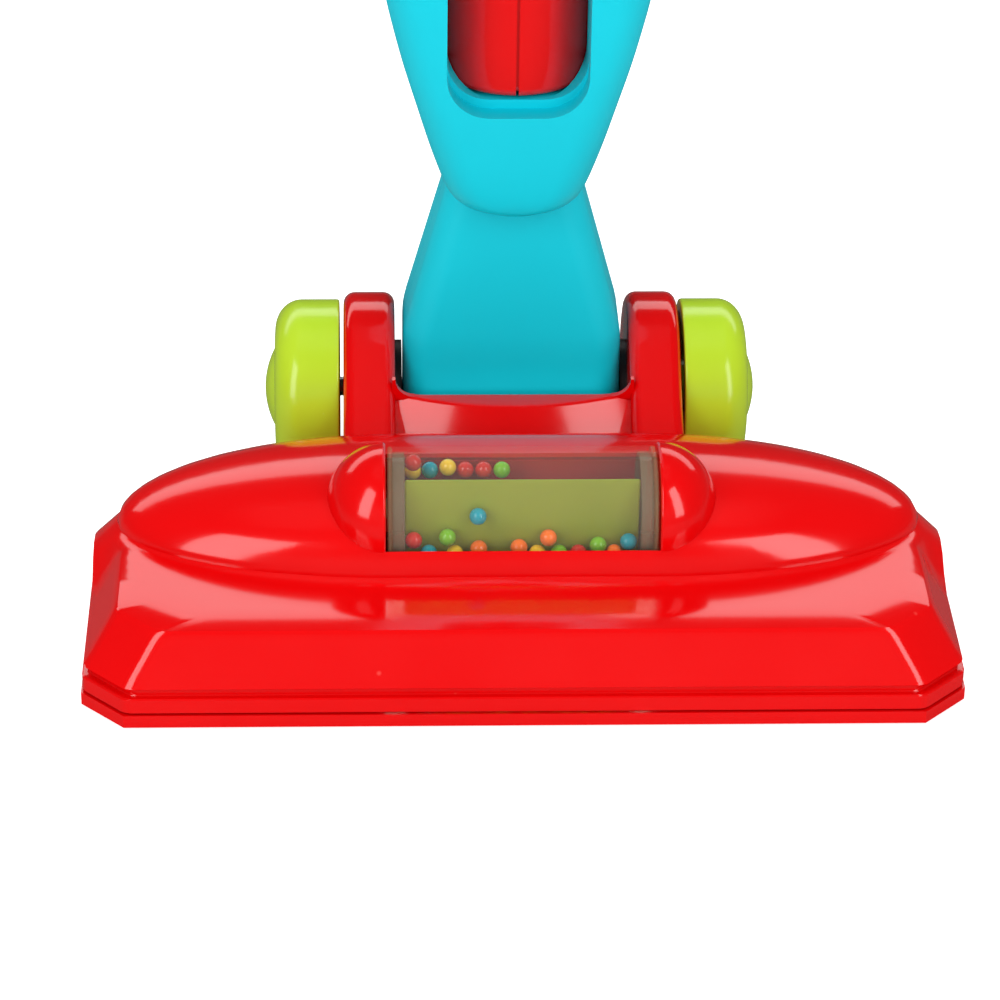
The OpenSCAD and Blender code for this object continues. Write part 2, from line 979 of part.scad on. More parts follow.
// One convex form through all the sections, set in by a wall for the hollow
module body_loft(in) {
    front = axle_d - body_front + in;
    back = axle_d + body_back - in;
    collar_half = collar_depth / 2 - in;
    sections = [
        [chin_z + in, chin_w, front + chin_setback, back - chin_back_in],
        [jaw_z + in / 2, jaw_w, front + jaw_setback, back - chin_back_in / 2],
        [rim_z, rim_w, front + rim_setback, back - rim_setback / 2],
        [flare_z, flare_w, front + rim_setback / 3, back],
        [belly_z, body_w, front, back],
        [shoulder_z, shoulder_w, front + rim_setback, back],
        [slope_z, slope_w, front + jaw_setback, back - slope_back_in],
        [collar_z - in, collar_w, handle_d - collar_half, handle_d + collar_half]
    ];
    hull()
        for (s = sections)
            section(s[0], s[1] - 2 * in, s[2], s[3], min(body_edge_r, s[1] / 2) - in);
}

// Round-ended slot in the body's front, from the front to depth d1
module front_slot(z0, d1, grow) {
    half = slot_half_w + grow;
    corner_r = slot_corner_r + grow;
    low_z = z0 - grow;
    translate([0, d1, 0])
        rotate([90, 0, 0])
            linear_extrude(d1) {
                translate([-half, low_z + corner_r])
                    square([2 * half, canister_dome_z - low_z - corner_r]);
                translate([-half + corner_r, low_z])
                    square([2 * (half - corner_r), corner_r]);
                for (side = [-1, 1])
                    translate([side * (half - corner_r), low_z + corner_r])
                        circle(r = corner_r);
                translate([0, canister_dome_z])
                    circle(r = half);
            }
}

module canister_pocket(grow) {
    translate([0, axle_d, pocket_z - grow])
        cylinder(r = pocket_r + grow, h = canister_dome_z - pocket_z + grow);
    translate([0, axle_d, canister_dome_z])
        sphere(r = pocket_r + grow);
}

module handle_socket(grow) {
    translate([0, handle_d, body_top_z - socket_l - grow])
        cylinder(r = stem_r + seat_fit + grow, h = socket_l + overrun);
}

module body_screw_places() {
    for (side = [-1, 1], z = body_screw_zs)
        translate([side * body_screw_x, 0, z])
            children();
}

module body_hollow() {
    difference() {
        body_loft(wall);
        column(neck_fit + wall, axle_z + barrel_edge_r, neck_top_z + neck_fit + wall);
        canister_pocket(wall);
        front_slot(rim_z, axle_d, wall);
        handle_socket(wall);
        body_screw_places()
            rod_y(screw_post_r, 0, 2 * total_depth, 0, 0);
    }
}

module body_solid() {
    difference() {
        union() {
            body_loft(0);
            translate([0, handle_d, collar_z])
                cylinder(r = collar_w / 2, h = body_top_z - collar_z);
        }
        body_hollow();
        column(neck_fit, axle_z + barrel_edge_r, neck_top_z + neck_fit);
        canister_pocket(0);
        front_slot(rim_z, axle_d - canister_r, 0);
        front_slot(pocket_z, axle_d, 0);
        handle_socket(0);
        body_screw_places()
            rear_screw_hole(0, 0);
    }
}

module body_front() {
    color(teal) placed()
        front_half()
            body_solid();
}

module body_rear() {
    color(teal) placed()
        rear_half()
            body_solid();
}

module body_screws() {
    color(steel) placed()
        body_screw_places()
            rear_screw(0, 0);
}

module canister_form(in) {
    z0 = canister_z + in;
    r = canister_r - in;
    translate([0, axle_d, 0])
        rotate_extrude() {
            translate([0, z0 + canister_edge_r])
                square([r, canister_dome_z - z0 - canister_edge_r]);
            translate([0, z0])
                square([r - canister_edge_r, canister_edge_r]);
            translate([r - canister_edge_r, z0 + canister_edge_r])
                circle(r = canister_edge_r);
            intersection() {
                translate([0, canister_dome_z])
                    circle(r = r);
                translate([0, canister_dome_z - slice_t])
                    square([r, 2 * r]);
            }
        }
}

// Left half of the canister, with a step along the seam that leaves a dark line
module canister_half() {
    difference() {
        canister_form(0);
        canister_form(canister_wall);
        slab(0, 2 * canister_r, 0, 2 * total_depth, 0, 2 * loop_z);
        difference() {
            slab(-seam_w / 2, seam_w, 0, 2 * total_depth, 0, 2 * loop_z);
            canister_form(seam_depth);
        }
    }
}

module canister_left() {
    color(red) placed()
        canister_half();
}

module canister_right() {
    color(red) placed()
        mirror([1, 0, 0])
            canister_half();
}

// Handle

module loop_bend(r_out, r_in, top) {
    translate([0, handle_d, loop_z + (top ? loop_half_l : -loop_half_l)])
        rotate([90, 0, 90])
            rotate([0, 0, top ? 0 : 180])
                rotate_extrude(angle = 180)
                    translate([loop_bend_r, 0])
                        difference() {
                            circle(r = r_out);
                            if (r_in > 0)
                                circle(r = r_in);
                        }
}

module loop_form(tube_r, stem) {
    bottom_z = loop_z - loop_half_l - loop_bend_r;
    loop_bend(tube_r, 0, true);
    loop_bend(tube_r, 0, false);
    for (side = [-1, 1])
        translate([0, handle_d + side * loop_bend_r, loop_z - loop_half_l])
            cylinder(r = tube_r, h = 2 * loop_half_l);
    translate([0, handle_d, body_top_z - socket_l + (stem_r - stem)])
        cylinder(r = stem, h = bottom_z - body_top_z + socket_l - (stem_r - stem));
}

module handle_screw_places() {
    for (z = stem_screw_zs)
        translate([0, handle_d, z])
            children();
    for (side = [-1, 1])
        translate([0, handle_d + side * loop_bend_r, loop_z])
            children();
}

module handle_solid() {
    post_half = loop_tube_r - wall / 2;
    difference() {
        union() {
            difference() {
                loop_form(loop_tube_r, stem_r);
                loop_form(loop_tube_r - wall, stem_r - wall);
            }
            handle_screw_places()
                rod_x(screw_post_r, -post_half, post_half, 0, 0);
            for (z = stem_screw_zs)
                rod_x(screw_post_r, -stem_r + wall / 2, stem_r - wall / 2, handle_d, z);
        }
        handle_screw_places() {
            rod_x(screw_hole_r, -loop_tube_r, screw_l - handle_seat + clear_gap, 0, 0);
            rod_x(head_hole_r, -2 * stem_r, -handle_seat, 0, 0);
        }
    }
}

module handle_left() {
    color(teal) placed()
        intersection() {
            handle_solid();
            slab(-2 * stem_r, 0, 0, 2 * total_depth, 0, 2 * loop_z);
        }
}

module handle_right() {
    color(teal) placed()
        intersection() {
            handle_solid();
            slab(0, 2 * stem_r, 0, 2 * total_depth, 0, 2 * loop_z);
        }
}

module grip_sleeve() {
    color(lime) placed()
        loop_bend(loop_tube_r + sleeve_t, loop_tube_r + run_fit, true);
}

module handle_screws() {
    color(steel) placed()
        handle_screw_places()
            translate([-handle_seat, 0, 0])
                rotate([0, 90, 0])
                    screw();
}

head_shell();
base_plate();
base_screws();
drum_tube();
drum_end_left();
drum_end_right();
drum_core();
beads_red();
beads_yellow();
beads_blue();
beads_green();
beads_orange();
roller_shaft();
roller_core();
roller_tyres();
axle();
wheel_left();
wheel_right();
hub_cap_left();
hub_cap_right();
pivot_washer_left();
pivot_washer_right();
neck_front();
neck_rear();
neck_screws();
body_front();
body_rear();
body_screws();
canister_left();
canister_right();
handle_left();
handle_right();
grip_sleeve();
handle_screws();
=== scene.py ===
import bpy
import bmesh
import math
from mathutils import Matrix, Vector


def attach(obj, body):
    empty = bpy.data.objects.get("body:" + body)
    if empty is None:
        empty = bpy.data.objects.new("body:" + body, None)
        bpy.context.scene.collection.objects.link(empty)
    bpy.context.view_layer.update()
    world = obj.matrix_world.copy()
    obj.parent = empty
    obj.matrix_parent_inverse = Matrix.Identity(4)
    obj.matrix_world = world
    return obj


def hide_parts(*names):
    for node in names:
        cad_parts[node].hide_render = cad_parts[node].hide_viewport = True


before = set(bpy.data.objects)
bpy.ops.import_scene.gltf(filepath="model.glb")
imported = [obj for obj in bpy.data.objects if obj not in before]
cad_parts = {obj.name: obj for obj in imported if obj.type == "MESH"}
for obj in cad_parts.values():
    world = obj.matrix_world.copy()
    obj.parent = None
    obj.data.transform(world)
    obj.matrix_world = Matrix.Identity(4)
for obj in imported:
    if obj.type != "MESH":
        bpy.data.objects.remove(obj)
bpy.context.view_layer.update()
print("frame loaded:", len(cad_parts), "nodes")

mm = 0.001
lipToOrigin = 94.15  # depths run back from the head's front lip, in millimetres
mergeMm = 0.004  # points this close become one
cutSlack = 1e-7  # metres, for the cuts of the head's window
shellSlack = 1e-6  # metres, for parting the shells and closing the pocket's ends
axle = (158.0, 28.0)  # depth and height of the wheels' axle
drumAxis = (57.0, 41.1)  # depth and height of the drum's pins
seam = 0.2  # gap between the halves of a shell


def at(x, depth, z):
    return Vector((x * mm, (depth - lipToOrigin) * mm, z * mm))


# Materials

mixA, mixB, mixOut = 6, 7, 2  # colour sockets of a mix node
dustLook = {"reach": 0.035, "share": 0.35}
coatRough = 0.06


def hexColor(code):
    channels = [int(code[k:k + 2], 16) / 255 for k in (1, 3, 5)]
    return [c / 12.92 if c <= 0.04045 else ((c + 0.055) / 1.055) ** 2.4 for c in channels] + [1.0]


def addNode(tree, kind, settings, links=None):
    node = tree.nodes.new(kind)
    for name, value in settings.items():
        if isinstance(name, int) or name in node.inputs:
            node.inputs[name].default_value = value
        else:
            setattr(node, name, value)
    for name, socket in (links or {}).items():
        tree.links.new(socket, node.inputs[name])
    return node


def startMaterial(name):
    material = bpy.data.materials.new(name)
    material.use_nodes = True
    tree = material.node_tree
    tree.nodes.clear()
    place = addNode(tree, "ShaderNodeTexCoord", {})
    return material, tree, place.outputs["Object"]


def endMaterial(tree, shader):
    addNode(tree, "ShaderNodeOutputMaterial", {}, {"Surface": shader.outputs[0]})


def mouldedPlastic(name, look):
    material, tree, place = startMaterial(name)
    flow = addNode(
        tree, "ShaderNodeTexNoise", {"Scale": 1 / (look["flowMm"] * mm), "Detail": 3.0}, {"Vector": place})
    grain = addNode(
        tree, "ShaderNodeTexNoise", {"Scale": 1 / (look["grainMm"] * mm), "Detail": 2.0}, {"Vector": place})
    specks = addNode(tree, "ShaderNodeTexVoronoi", {"Scale": 1 / (look["speckMm"] * mm)}, {"Vector": place})
    tone = addNode(
        tree, "ShaderNodeMix",
        {"data_type": "RGBA", mixA: hexColor(look["dark"]), mixB: hexColor(look["light"])},
        {"Factor": flow.outputs["Fac"]})
    dust = addNode(
        tree, "ShaderNodeMapRange",
        {"From Min": 0.0, "From Max": dustLook["reach"], "To Min": dustLook["share"], "To Max": 0.0},
        {"Value": specks.outputs["Distance"]})
    dusty = addNode(
        tree, "ShaderNodeMix", {"data_type": "RGBA", mixB: hexColor(look["dust"])},
        {"Factor": dust.outputs["Result"], mixA: tone.outputs[mixOut]})
    low, high = look["rough"]
    rough = addNode(
        tree, "ShaderNodeMapRange", {"To Min": low, "To Max": high}, {"Value": flow.outputs["Fac"]})
    bump = addNode(
        tree, "ShaderNodeBump", {"Strength": look["bump"], "Distance": look["bumpMm"] * mm},
        {"Height": grain.outputs["Fac"]})
    shader = addNode(
        tree, "ShaderNodeBsdfPrincipled",
        {"IOR": look["ior"], "Specular IOR Level": look["spec"], "Coat Weight": look["coat"],
         "Coat Roughness": coatRough},
        {"Base Color": dusty.outputs[mixOut], "Roughness": rough.outputs["Result"],
         "Normal": bump.outputs["Normal"]})
    endMaterial(tree, shader)
    return material


# polished-tool ABS: wet-looking gloss with a faint orange peel and a little dust
redAbs = mouldedPlastic("red ABS, moulded in a polished tool", {
    "dark": "#d80104", "light": "#e00406", "dust": "#ff7a70", "flowMm": 38, "grainMm": 2.6, "speckMm": 26,
    "rough": (0.10, 0.17), "bump": 0.06, "bumpMm": 0.05, "ior": 1.53, "spec": 0.5, "coat": 0.15})
# polypropylene from an eroded tool: even satin, soft wide highlights
tealPolypropylene = mouldedPlastic("teal polypropylene, moulded satin", {
    "dark": "#00c0d3", "light": "#00cbdc", "dust": "#4fdbe6", "flowMm": 46, "grainMm": 0.7, "speckMm": 40,
    "rough": (0.40, 0.48), "bump": 0.12, "bumpMm": 0.03, "ior": 1.49, "spec": 0.22, "coat": 0.0})
# lime ABS: bright gloss, slightly softer than the head
limeAbs = mouldedPlastic("lime ABS, moulded gloss", {
    "dark": "#b2d426", "light": "#bfdd33", "dust": "#e4f08a", "flowMm": 24, "grainMm": 1.8, "speckMm": 22,
    "rough": (0.17, 0.25), "bump": 0.07, "bumpMm": 0.04, "ior": 1.53, "spec": 0.5, "coat": 0.1})
# lime polypropylene of the drum's core, matt; its colour is darkened to olive as painted shade of the dim
# drum bay
shadedLimeCore = mouldedPlastic("lime polypropylene, moulded matt, darkened as painted shade", {
    "dark": "#848f20", "light": "#929b2a", "dust": "#c2cc70", "flowMm": 26, "grainMm": 0.8, "speckMm": 30,
    "rough": (0.38, 0.48), "bump": 0.10, "bumpMm": 0.03, "ior": 1.49, "spec": 0.3, "coat": 0.0})
# thermoplastic rubber on the loop: soft and dull
limeGrip = mouldedPlastic("lime thermoplastic rubber, soft grip", {
    "dark": "#aecb28", "light": "#bcd836", "dust": "#d6e68c", "flowMm": 20, "grainMm": 0.5, "speckMm": 30,
    "rough": (0.60, 0.70), "bump": 0.25, "bumpMm": 0.04, "ior": 1.47, "spec": 0.3, "coat": 0.0})
# black acetal of the washers and the roller's core: matt, with a slight waxy sheen
blackAcetal = mouldedPlastic("black acetal, moulded matt", {
    "dark": "#1d1f21", "light": "#2b2d30", "dust": "#55585c", "flowMm": 9, "grainMm": 0.4, "speckMm": 18,
    "rough": (0.42, 0.52), "bump": 0.15, "bumpMm": 0.02, "ior": 1.48, "spec": 0.4, "coat": 0.0})
# vulcanised tyres of the floor roller: deep and dull black
blackRubber = mouldedPlastic("black rubber, vulcanised", {
    "dark": "#151618", "light": "#222326", "dust": "#6b6a66", "flowMm": 6, "grainMm": 0.3, "speckMm": 9,
    "rough": (0.72, 0.84), "bump": 0.35, "bumpMm": 0.04, "ior": 1.45, "spec": 0.3, "coat": 0.0})


def beadPlastic(name, dark, light):  # tumbled beads: clean gloss, each with a slightly uneven tone
    return mouldedPlastic(name, {
        "dark": dark, "light": light, "dust": light, "flowMm": 5, "grainMm": 0.6, "speckMm": 30,
        "rough": (0.14, 0.22), "bump": 0.05, "bumpMm": 0.02, "ior": 1.53, "spec": 0.5, "coat": 0.0})


beadFinish = {
    "red": beadPlastic("red polystyrene bead, tumbled", "#c4201c", "#d62c24"),
    "yellow": beadPlastic("yellow polystyrene bead, tumbled", "#e8b826", "#f3c83a"),
    "blue": beadPlastic("blue polystyrene bead, tumbled", "#04869a", "#0a9cb0"),
    "green": beadPlastic("green polystyrene bead, tumbled", "#6fae22", "#82bf2e"),
    "orange": beadPlastic("orange polystyrene bead, tumbled", "#f86a18", "#ff7c28")}

clearLook = {"hazeMm": 14, "rough": (0.03, 0.09), "ior": 1.59}


def clearPlastic(name, tint, body, cover):  # polished and mostly seen through, with a thin gloss
    material, tree, place = startMaterial(name)
    haze = addNode(
        tree, "ShaderNodeTexNoise", {"Scale": 1 / (clearLook["hazeMm"] * mm), "Detail": 2.0},
        {"Vector": place})
    low, high = clearLook["rough"]
    rough = addNode(
        tree, "ShaderNodeMapRange", {"To Min": low, "To Max": high}, {"Value": haze.outputs["Fac"]})
    through = addNode(tree, "ShaderNodeBsdfTransparent", {"Color": hexColor(tint)})
    gloss = addNode(
        tree, "ShaderNodeBsdfPrincipled", {"Base Color": hexColor(body), "IOR": clearLook["ior"]},
        {"Roughness": rough.outputs["Result"]})
    shader = addNode(
        tree, "ShaderNodeMixShader", {0: cover}, {1: through.outputs["BSDF"], 2: gloss.outputs["BSDF"]})
    endMaterial(tree, shader)
    return material


clearTube = clearPlastic("clear polystyrene tube, polished", "#fefefc", "#e6ece8", 0.03)
clearPlug = clearPlastic("clear polystyrene plug, moulded", "#fbf7f0", "#dcb892", 0.2)

steelLook = {"color": "#b9bdc0", "lineMm": 0.8, "rough": (0.26, 0.40)}


def platedSteel(name):  # zinc-plated wire and screws: faint drawing lines, kept coarse so that they show
    material, tree, place = startMaterial(name)
    lines = addNode(
        tree, "ShaderNodeTexNoise", {"Scale": 1 / (steelLook["lineMm"] * mm), "Detail": 3.0},
        {"Vector": place})
    low, high = steelLook["rough"]
    rough = addNode(
        tree, "ShaderNodeMapRange", {"To Min": low, "To Max": high}, {"Value": lines.outputs["Fac"]})
    shader = addNode(
        tree, "ShaderNodeBsdfPrincipled", {"Base Color": hexColor(steelLook["color"]), "Metallic": 1.0},
        {"Roughness": rough.outputs["Result"]})
    endMaterial(tree, shader)
    return material


zincSteel = platedSteel("steel, zinc plated")
print("materials made")


# Mesh helpers

def pushRing(bm, loop, points):  # extrudes a closed loop of verts to the next ring of points
    edges = [bm.edges.get((a, b)) for a, b in zip(loop, loop[1:] + loop[:1])]
    made = bmesh.ops.extrude_edge_only(bm, edges=edges)["geom"]
    fresh = {v for v in made if isinstance(v, bmesh.types.BMVert)}
    ring = [next(e.other_vert(v) for e in v.link_edges if e.other_vert(v) in fresh) for v in loop]
    for v, p in zip(ring, points):
        v.co = p
    return ring


def loftRings(bm, rings, capped=True):  # a skin over closed rings of points; gives the first ring's verts
    first = bmesh.ops.create_circle(bm, segments=len(rings[0]), radius=mm)["verts"]
    for v, p in zip(first, rings[0]):
        v.co = p
    if capped:
        bm.faces.new(list(reversed(first)))
    loop = first
    for points in rings[1:]:
        loop = pushRing(bm, loop, points)
    if capped:
        bm.faces.new(loop)
    return first


def makePiece(name, bm, body, material, nodes, sharpAngle=34, recalc=True):
    bmesh.ops.remove_doubles(bm, verts=bm.verts, dist=mergeMm * mm)
    if recalc:
        bmesh.ops.recalc_face_normals(bm, faces=bm.faces)
    for f in bm.faces:
        f.smooth = True
    for e in bm.edges:
        e.smooth = len(e.link_faces) == 2 and e.calc_face_angle(0) < math.radians(sharpAngle)
    mesh = bpy.data.meshes.new(name)
    bm.to_mesh(mesh)
    bm.free()
    piece = bpy.data.objects.new(name, mesh)
    bpy.context.scene.collection.objects.link(piece)
    mesh.materials.append(material)
    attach(piece, body)
    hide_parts(*nodes)
    return piece


def evenShading(piece):
    even = piece.modifiers.new("even", "WEIGHTED_NORMAL")
    even.keep_sharp = True


def joinInto(target, bm):
    mesh = bpy.data.meshes.new("part")
    bmesh.ops.recalc_face_normals(bm, faces=bm.faces)
    bm.to_mesh(mesh)
    bm.free()
    target.from_mesh(mesh)
    bpy.data.meshes.remove(mesh)


def pushedOut(bm, points, vec):  # a flat outline made solid along vec
    face = bm.faces.new([bm.verts.new(p) for p in points])
    made = bmesh.ops.extrude_face_region(bm, geom=[face], use_keep_orig=True)["geom"]
    far = [v for v in made if isinstance(v, bmesh.types.BMVert)]
    bmesh.ops.translate(bm, verts=far, vec=vec)


def smoothMin(a, b, k):
    return min(a, b) - max(k - abs(a - b), 0) ** 2 / (4 * k)


def smoothMax(a, b, k):
    return max(a, b) + max(k - abs(a - b), 0) ** 2 / (4 * k)


def roundCorners(points, r, steps):  # an open polyline with each inner corner rounded
    legParts = 2.2  # a rounding takes less than half of a leg
    out = [points[0]]
    for a, b, c in zip(points, points[1:], points[2:]):
        a, b, c = Vector(a), Vector(b), Vector(c)
        u, v = (a - b).normalized(), (c - b).normalized()
        half = u.angle(v) / 2
        reach = min(r / math.tan(half), (a - b).length / legParts, (c - b).length / legParts)
        for k in range(steps + 1):
            t = k / steps
            out.append(tuple((1 - t) ** 2 * (b + u * reach) + 2 * t * (1 - t) * b + t * t * (b + v * reach)))
    out.append(points[-1])
    return out


def roundedRect(z, w, front, back, r, steps=7, flats=5):  # a level ring with points along its flats too
    nearly = 0.98  # keeps a little flat between two corners
    r = min(r, w / 2 * nearly, (back - front) / 2 * nearly)
    inner = w / 2 - r
    near, far = front + r, back - r
    corners = [(inner, near, -90), (inner, far, 0), (-inner, far, 90), (-inner, near, 180)]
    points = []
    for cx, cd, start in corners:
        for k in range(steps + 1):
            a = math.radians(start + 90 * k / steps)
            points.append((cx + r * math.cos(a), cd + r * math.sin(a)))
    out = []
    for k, p in enumerate(points):
        out.append(at(p[0], p[1], z))
        if k % (steps + 1) == steps:
            q = points[(k + 1) % len(points)]
            for j in range(1, flats):
                t = j / flats
                out.append(at(p[0] + (q[0] - p[0]) * t, p[1] + (q[1] - p[1]) * t, z))
    return out


def spun(bm, points, centre, axis, steps):
    verts = [bm.verts.new(p) for p in points]
    edges = [bm.edges.new(pair) for pair in zip(verts, verts[1:])]
    bmesh.ops.spin(
        bm, geom=verts + edges, cent=centre, axis=axis, angle=math.tau, steps=steps, use_merge=True,
        use_duplicate=False)


def turnedX(bm, profile, centre, steps=96):  # spins (x, radius) points round an axle along X
    spun(bm, [at(x, centre[0], centre[1] + r) for x, r in profile], at(0, *centre), (1, 0, 0), steps)


def turnedZ(bm, profile, depth, steps=72):  # spins (radius, z) points round an upright axis
    spun(bm, [at(r, depth, z) for r, z in profile], at(0, depth, 0), (0, 0, 1), steps)
    bmesh.ops.remove_doubles(bm, verts=bm.verts, dist=shellSlack)


# Floor head

head = {
    "halfW": 130.0, "depth": 90.0, "top": 29.0, "wall": 1.4,
    "bevelLow": 13.2, "lipIn": 1.0, "sideIn": 11.0, "frontIn": 9.0,
    "cornerCut": 13.0, "cornerRun": 6.0, "cornerRound": 5.0, "backRound": 12.0, "edgeRound": 3.2,
    "domeDepth": 71.6, "domeHalfW": 121.5, "domeMid": 36.0, "domeHalfD": 37.1, "domeRise": 21.0,
    "crease": 1.6, "creaseMid": 4.5,
    "windowHalf": 40.7, "windowFront": 37.7, "windowBack": 74.6, "windowFloor": 37.1,
    "nearReach": 9.0, "nearFront": 28.0, "nearLow": 31.0,  # what the window's cuts can touch
    "foot": [  # inset and height of each point of the groove and the flange
        (1.0, 13.2), (1.25, 12.9), (2.0, 12.75), (2.4, 12.5), (2.4, 10.7),
        (2.1, 10.35), (0.75, 10.2), (0.4, 9.85), (0.4, 5.55), (0.75, 5.2)],
    "lipStep": 12.8, "footGap": 0.4}

weave = {  # how the rows of the skin are shared out
    "climb": [90, 80, 70, 61, 53, 46, 40, 34, 29, 24, 19, 15, 11, 8, 5.5, 3.5, 2, 0.9, 0.2],  # degrees
    "flatShares": [0.03, 0.08, 0.15, 0.26, 0.4, 0.58, 0.8, 1.0],
    "bevelShares": [0.06, 0.13, 0.22, 0.35, 0.55, 0.78, 0.97],
    "dropShares": [0.02, 0.05, 0.1, 0.16, 0.23, 0.31, 0.4, 0.48, 0.56, 0.64, 0.71, 0.78, 0.85, 0.92, 0.98],
    "noFlatShare": 0.3, "onFlat": 1.02, "rearCount": 64, "sideSteps": 9, "frontSteps": 16,
    "farShare": 60.0, "halvings": 44}


def barSide(sideIn, frontIn, backIn):  # right half of the bar's outline, from its back to the front centre
    w, f, b = head["halfW"] - sideIn, frontIn, head["depth"] - backIn
    r, cut, run = head["backRound"], head["cornerCut"], head["cornerRun"]
    arc = []
    for degrees in range(90, 0, -10):
        a = math.radians(degrees)
        arc.append((w - r + r * math.cos(a), b - r + r * math.sin(a)))
    count = weave["sideSteps"]
    side = [(w, b - r + (f + cut + run - b + r) * k / count) for k in range(count + 1)]
    corner = roundCorners([side[-1], (w, f + cut), (w - cut, f), (w - cut - run, f)], head["cornerRound"], 5)
    count = weave["frontSteps"]
    front = [((w - cut - run) * (1 - k / count), f) for k in range(1, count + 1)]
    return arc + side + corner[1:] + front


def barOutline(sideIn, frontIn, backIn):
    right = barSide(sideIn, frontIn, backIn)
    return right + [(-x, d) for x, d in reversed(right[:-1])]


def domeReach(x, d, inset=0.0):  # 0 on the dome's ridge, 1 at its foot
    end = max(abs(x) - head["domeMid"], 0) / (head["domeHalfW"] - head["domeMid"] - inset)
    return math.hypot(end, (d - head["domeDepth"]) / (head["domeHalfD"] - inset))


def domeEdge(x, d, inset=0.0):  # point of the dome's foot on the ray to (x, d), found by halving
    mid, low, high = head["domeDepth"], 0.0, weave["farShare"]
    for k in range(weave["halvings"]):
        t = (low + high) / 2
        if domeReach(x * t, mid + (d - mid) * t, inset) < 1:
            low = t
        else:
            high = t
    return x * low, mid + (d - mid) * low


def domeHeight(x, d):
    return head["top"] + head["domeRise"] * math.sqrt(max(1 - domeReach(x, d) ** 2, 0))


def barHeight(x, d):
    top, lip, r = head["top"], head["lipIn"], head["backRound"]
    sideIn, frontIn = head["sideIn"], head["frontIn"]
    drop = top - head["bevelLow"]
    lean = r ** 2 - max(d - head["depth"] + r + lip, 0) ** 2
    outX = abs(x) + r - math.sqrt(max(lean, 0))
    topW = head["halfW"] - sideIn
    corner = topW - head["cornerCut"] - frontIn
    side = top - (outX - topW) * drop / (sideIn - lip)
    front = top - (frontIn - d) * drop / (frontIn - lip)
    cut = top - (abs(x) - d - corner) * drop / (sideIn + frontIn - 2 * lip)
    k = head["edgeRound"]
    return smoothMin(top, smoothMin(smoothMin(side, front, k), cut, k), k)


def skinHeight(x, d):
    if domeReach(x, d) < 1:
        dome = domeHeight(x, d)
    else:
        dome = head["top"] - math.dist(domeEdge(x, d), (x, d))
    middle = max(1 - (x / head["domeHalfW"]) ** 2, 0)  # the crease is softest here
    return smoothMax(barHeight(x, d), dome, head["crease"] + head["creaseMid"] * middle)


def along(path, s):  # point at length s on a polyline of plan points
    for a, b in zip(path, path[1:]):
        step = math.dist(a, b)
        if s <= step or b is path[-1]:
            t = min(s / step, 1) if step else 0
            return a[0] + (b[0] - a[0]) * t, a[1] + (b[1] - a[1]) * t
        s -= step


def climbPoints(edge):  # plan points from the dome's middle out to a point of its foot
    mid = head["domeDepth"]
    shares = [math.cos(math.radians(a)) for a in weave["climb"]]
    return [(edge[0] * s, mid + (edge[1] - mid) * s) for s in shares]


def barColumn(low, top):  # from the dome's middle across the bar's flat and down its bevel
    edge = domeEdge(*low)
    hasFlat = domeReach(*top) > weave["onFlat"]
    path = [edge, top, low] if hasFlat else [edge, low]
    whole = sum(math.dist(p, q) for p, q in zip(path, path[1:]))
    flat = math.dist(edge, top) if hasFlat else whole * weave["noFlatShare"]
    plan = climbPoints(edge)
    plan += [along(path, flat * s) for s in weave["flatShares"]]
    plan += [along(path, flat + (whole - flat) * s) for s in weave["bevelShares"]]
    return [at(x, d, skinHeight(x, d)) for x, d in plan]


def rearColumn(a):  # behind the bar the dome's foot drops straight to the flange
    mid = head["domeDepth"]
    edge = domeEdge(head["domeHalfW"] * math.cos(a), mid + head["domeHalfD"] * math.sin(a))
    drop = head["top"] - head["bevelLow"] - head["footGap"]
    points = [at(x, d, domeHeight(x, d)) for x, d in climbPoints(edge)]
    points += [at(*edge, head["top"] - drop * s) for s in weave["dropShares"]]
    for inset, z in head["foot"]:
        drawnIn = max(inset - head["lipIn"], 0) if z > head["lipStep"] else inset
        points.append(at(*domeEdge(*edge, drawnIn), z))
    return points


def headColumns():  # columns of points round the head, each from the dome's middle to the flange
    lip, mid = head["lipIn"], head["domeDepth"]
    low, top = barOutline(lip, lip, lip), barOutline(head["sideIn"], head["frontIn"], lip)
    footRings = [(barOutline(inset, inset, inset), z) for inset, z in head["foot"]]
    columns = []
    for k, (b, t) in enumerate(zip(low, top)):
        columns.append(barColumn(b, t) + [at(*ring[k], z) for ring, z in footRings])
    ends = []
    for x, d in (domeEdge(*low[-1]), domeEdge(*low[0])):
        ends.append(math.atan2((d - mid) / head["domeHalfD"], x / head["domeHalfW"]))
    count = weave["rearCount"]
    for k in range(1, count):
        columns.append(rearColumn(ends[0] + (ends[1] - ends[0]) * k / count))
    return columns


def middleOf(face):  # across, back from the lip and up, in millimetres
    c = face.calc_center_median()
    return c.x / mm, c.y / mm + lipToOrigin, c.z / mm


def nearWindow(face):
    x, depth, z = middleOf(face)
    inDepth = head["nearFront"] < depth < head["windowBack"] + head["nearReach"]
    return inDepth and abs(x) < head["windowHalf"] + head["nearReach"] and z > head["nearLow"]


def overWindow(face):
    x, depth, z = middleOf(face)
    inDepth = head["windowFront"] < depth < head["windowBack"]
    return inDepth and abs(x) < head["windowHalf"] and z > head["windowFloor"]


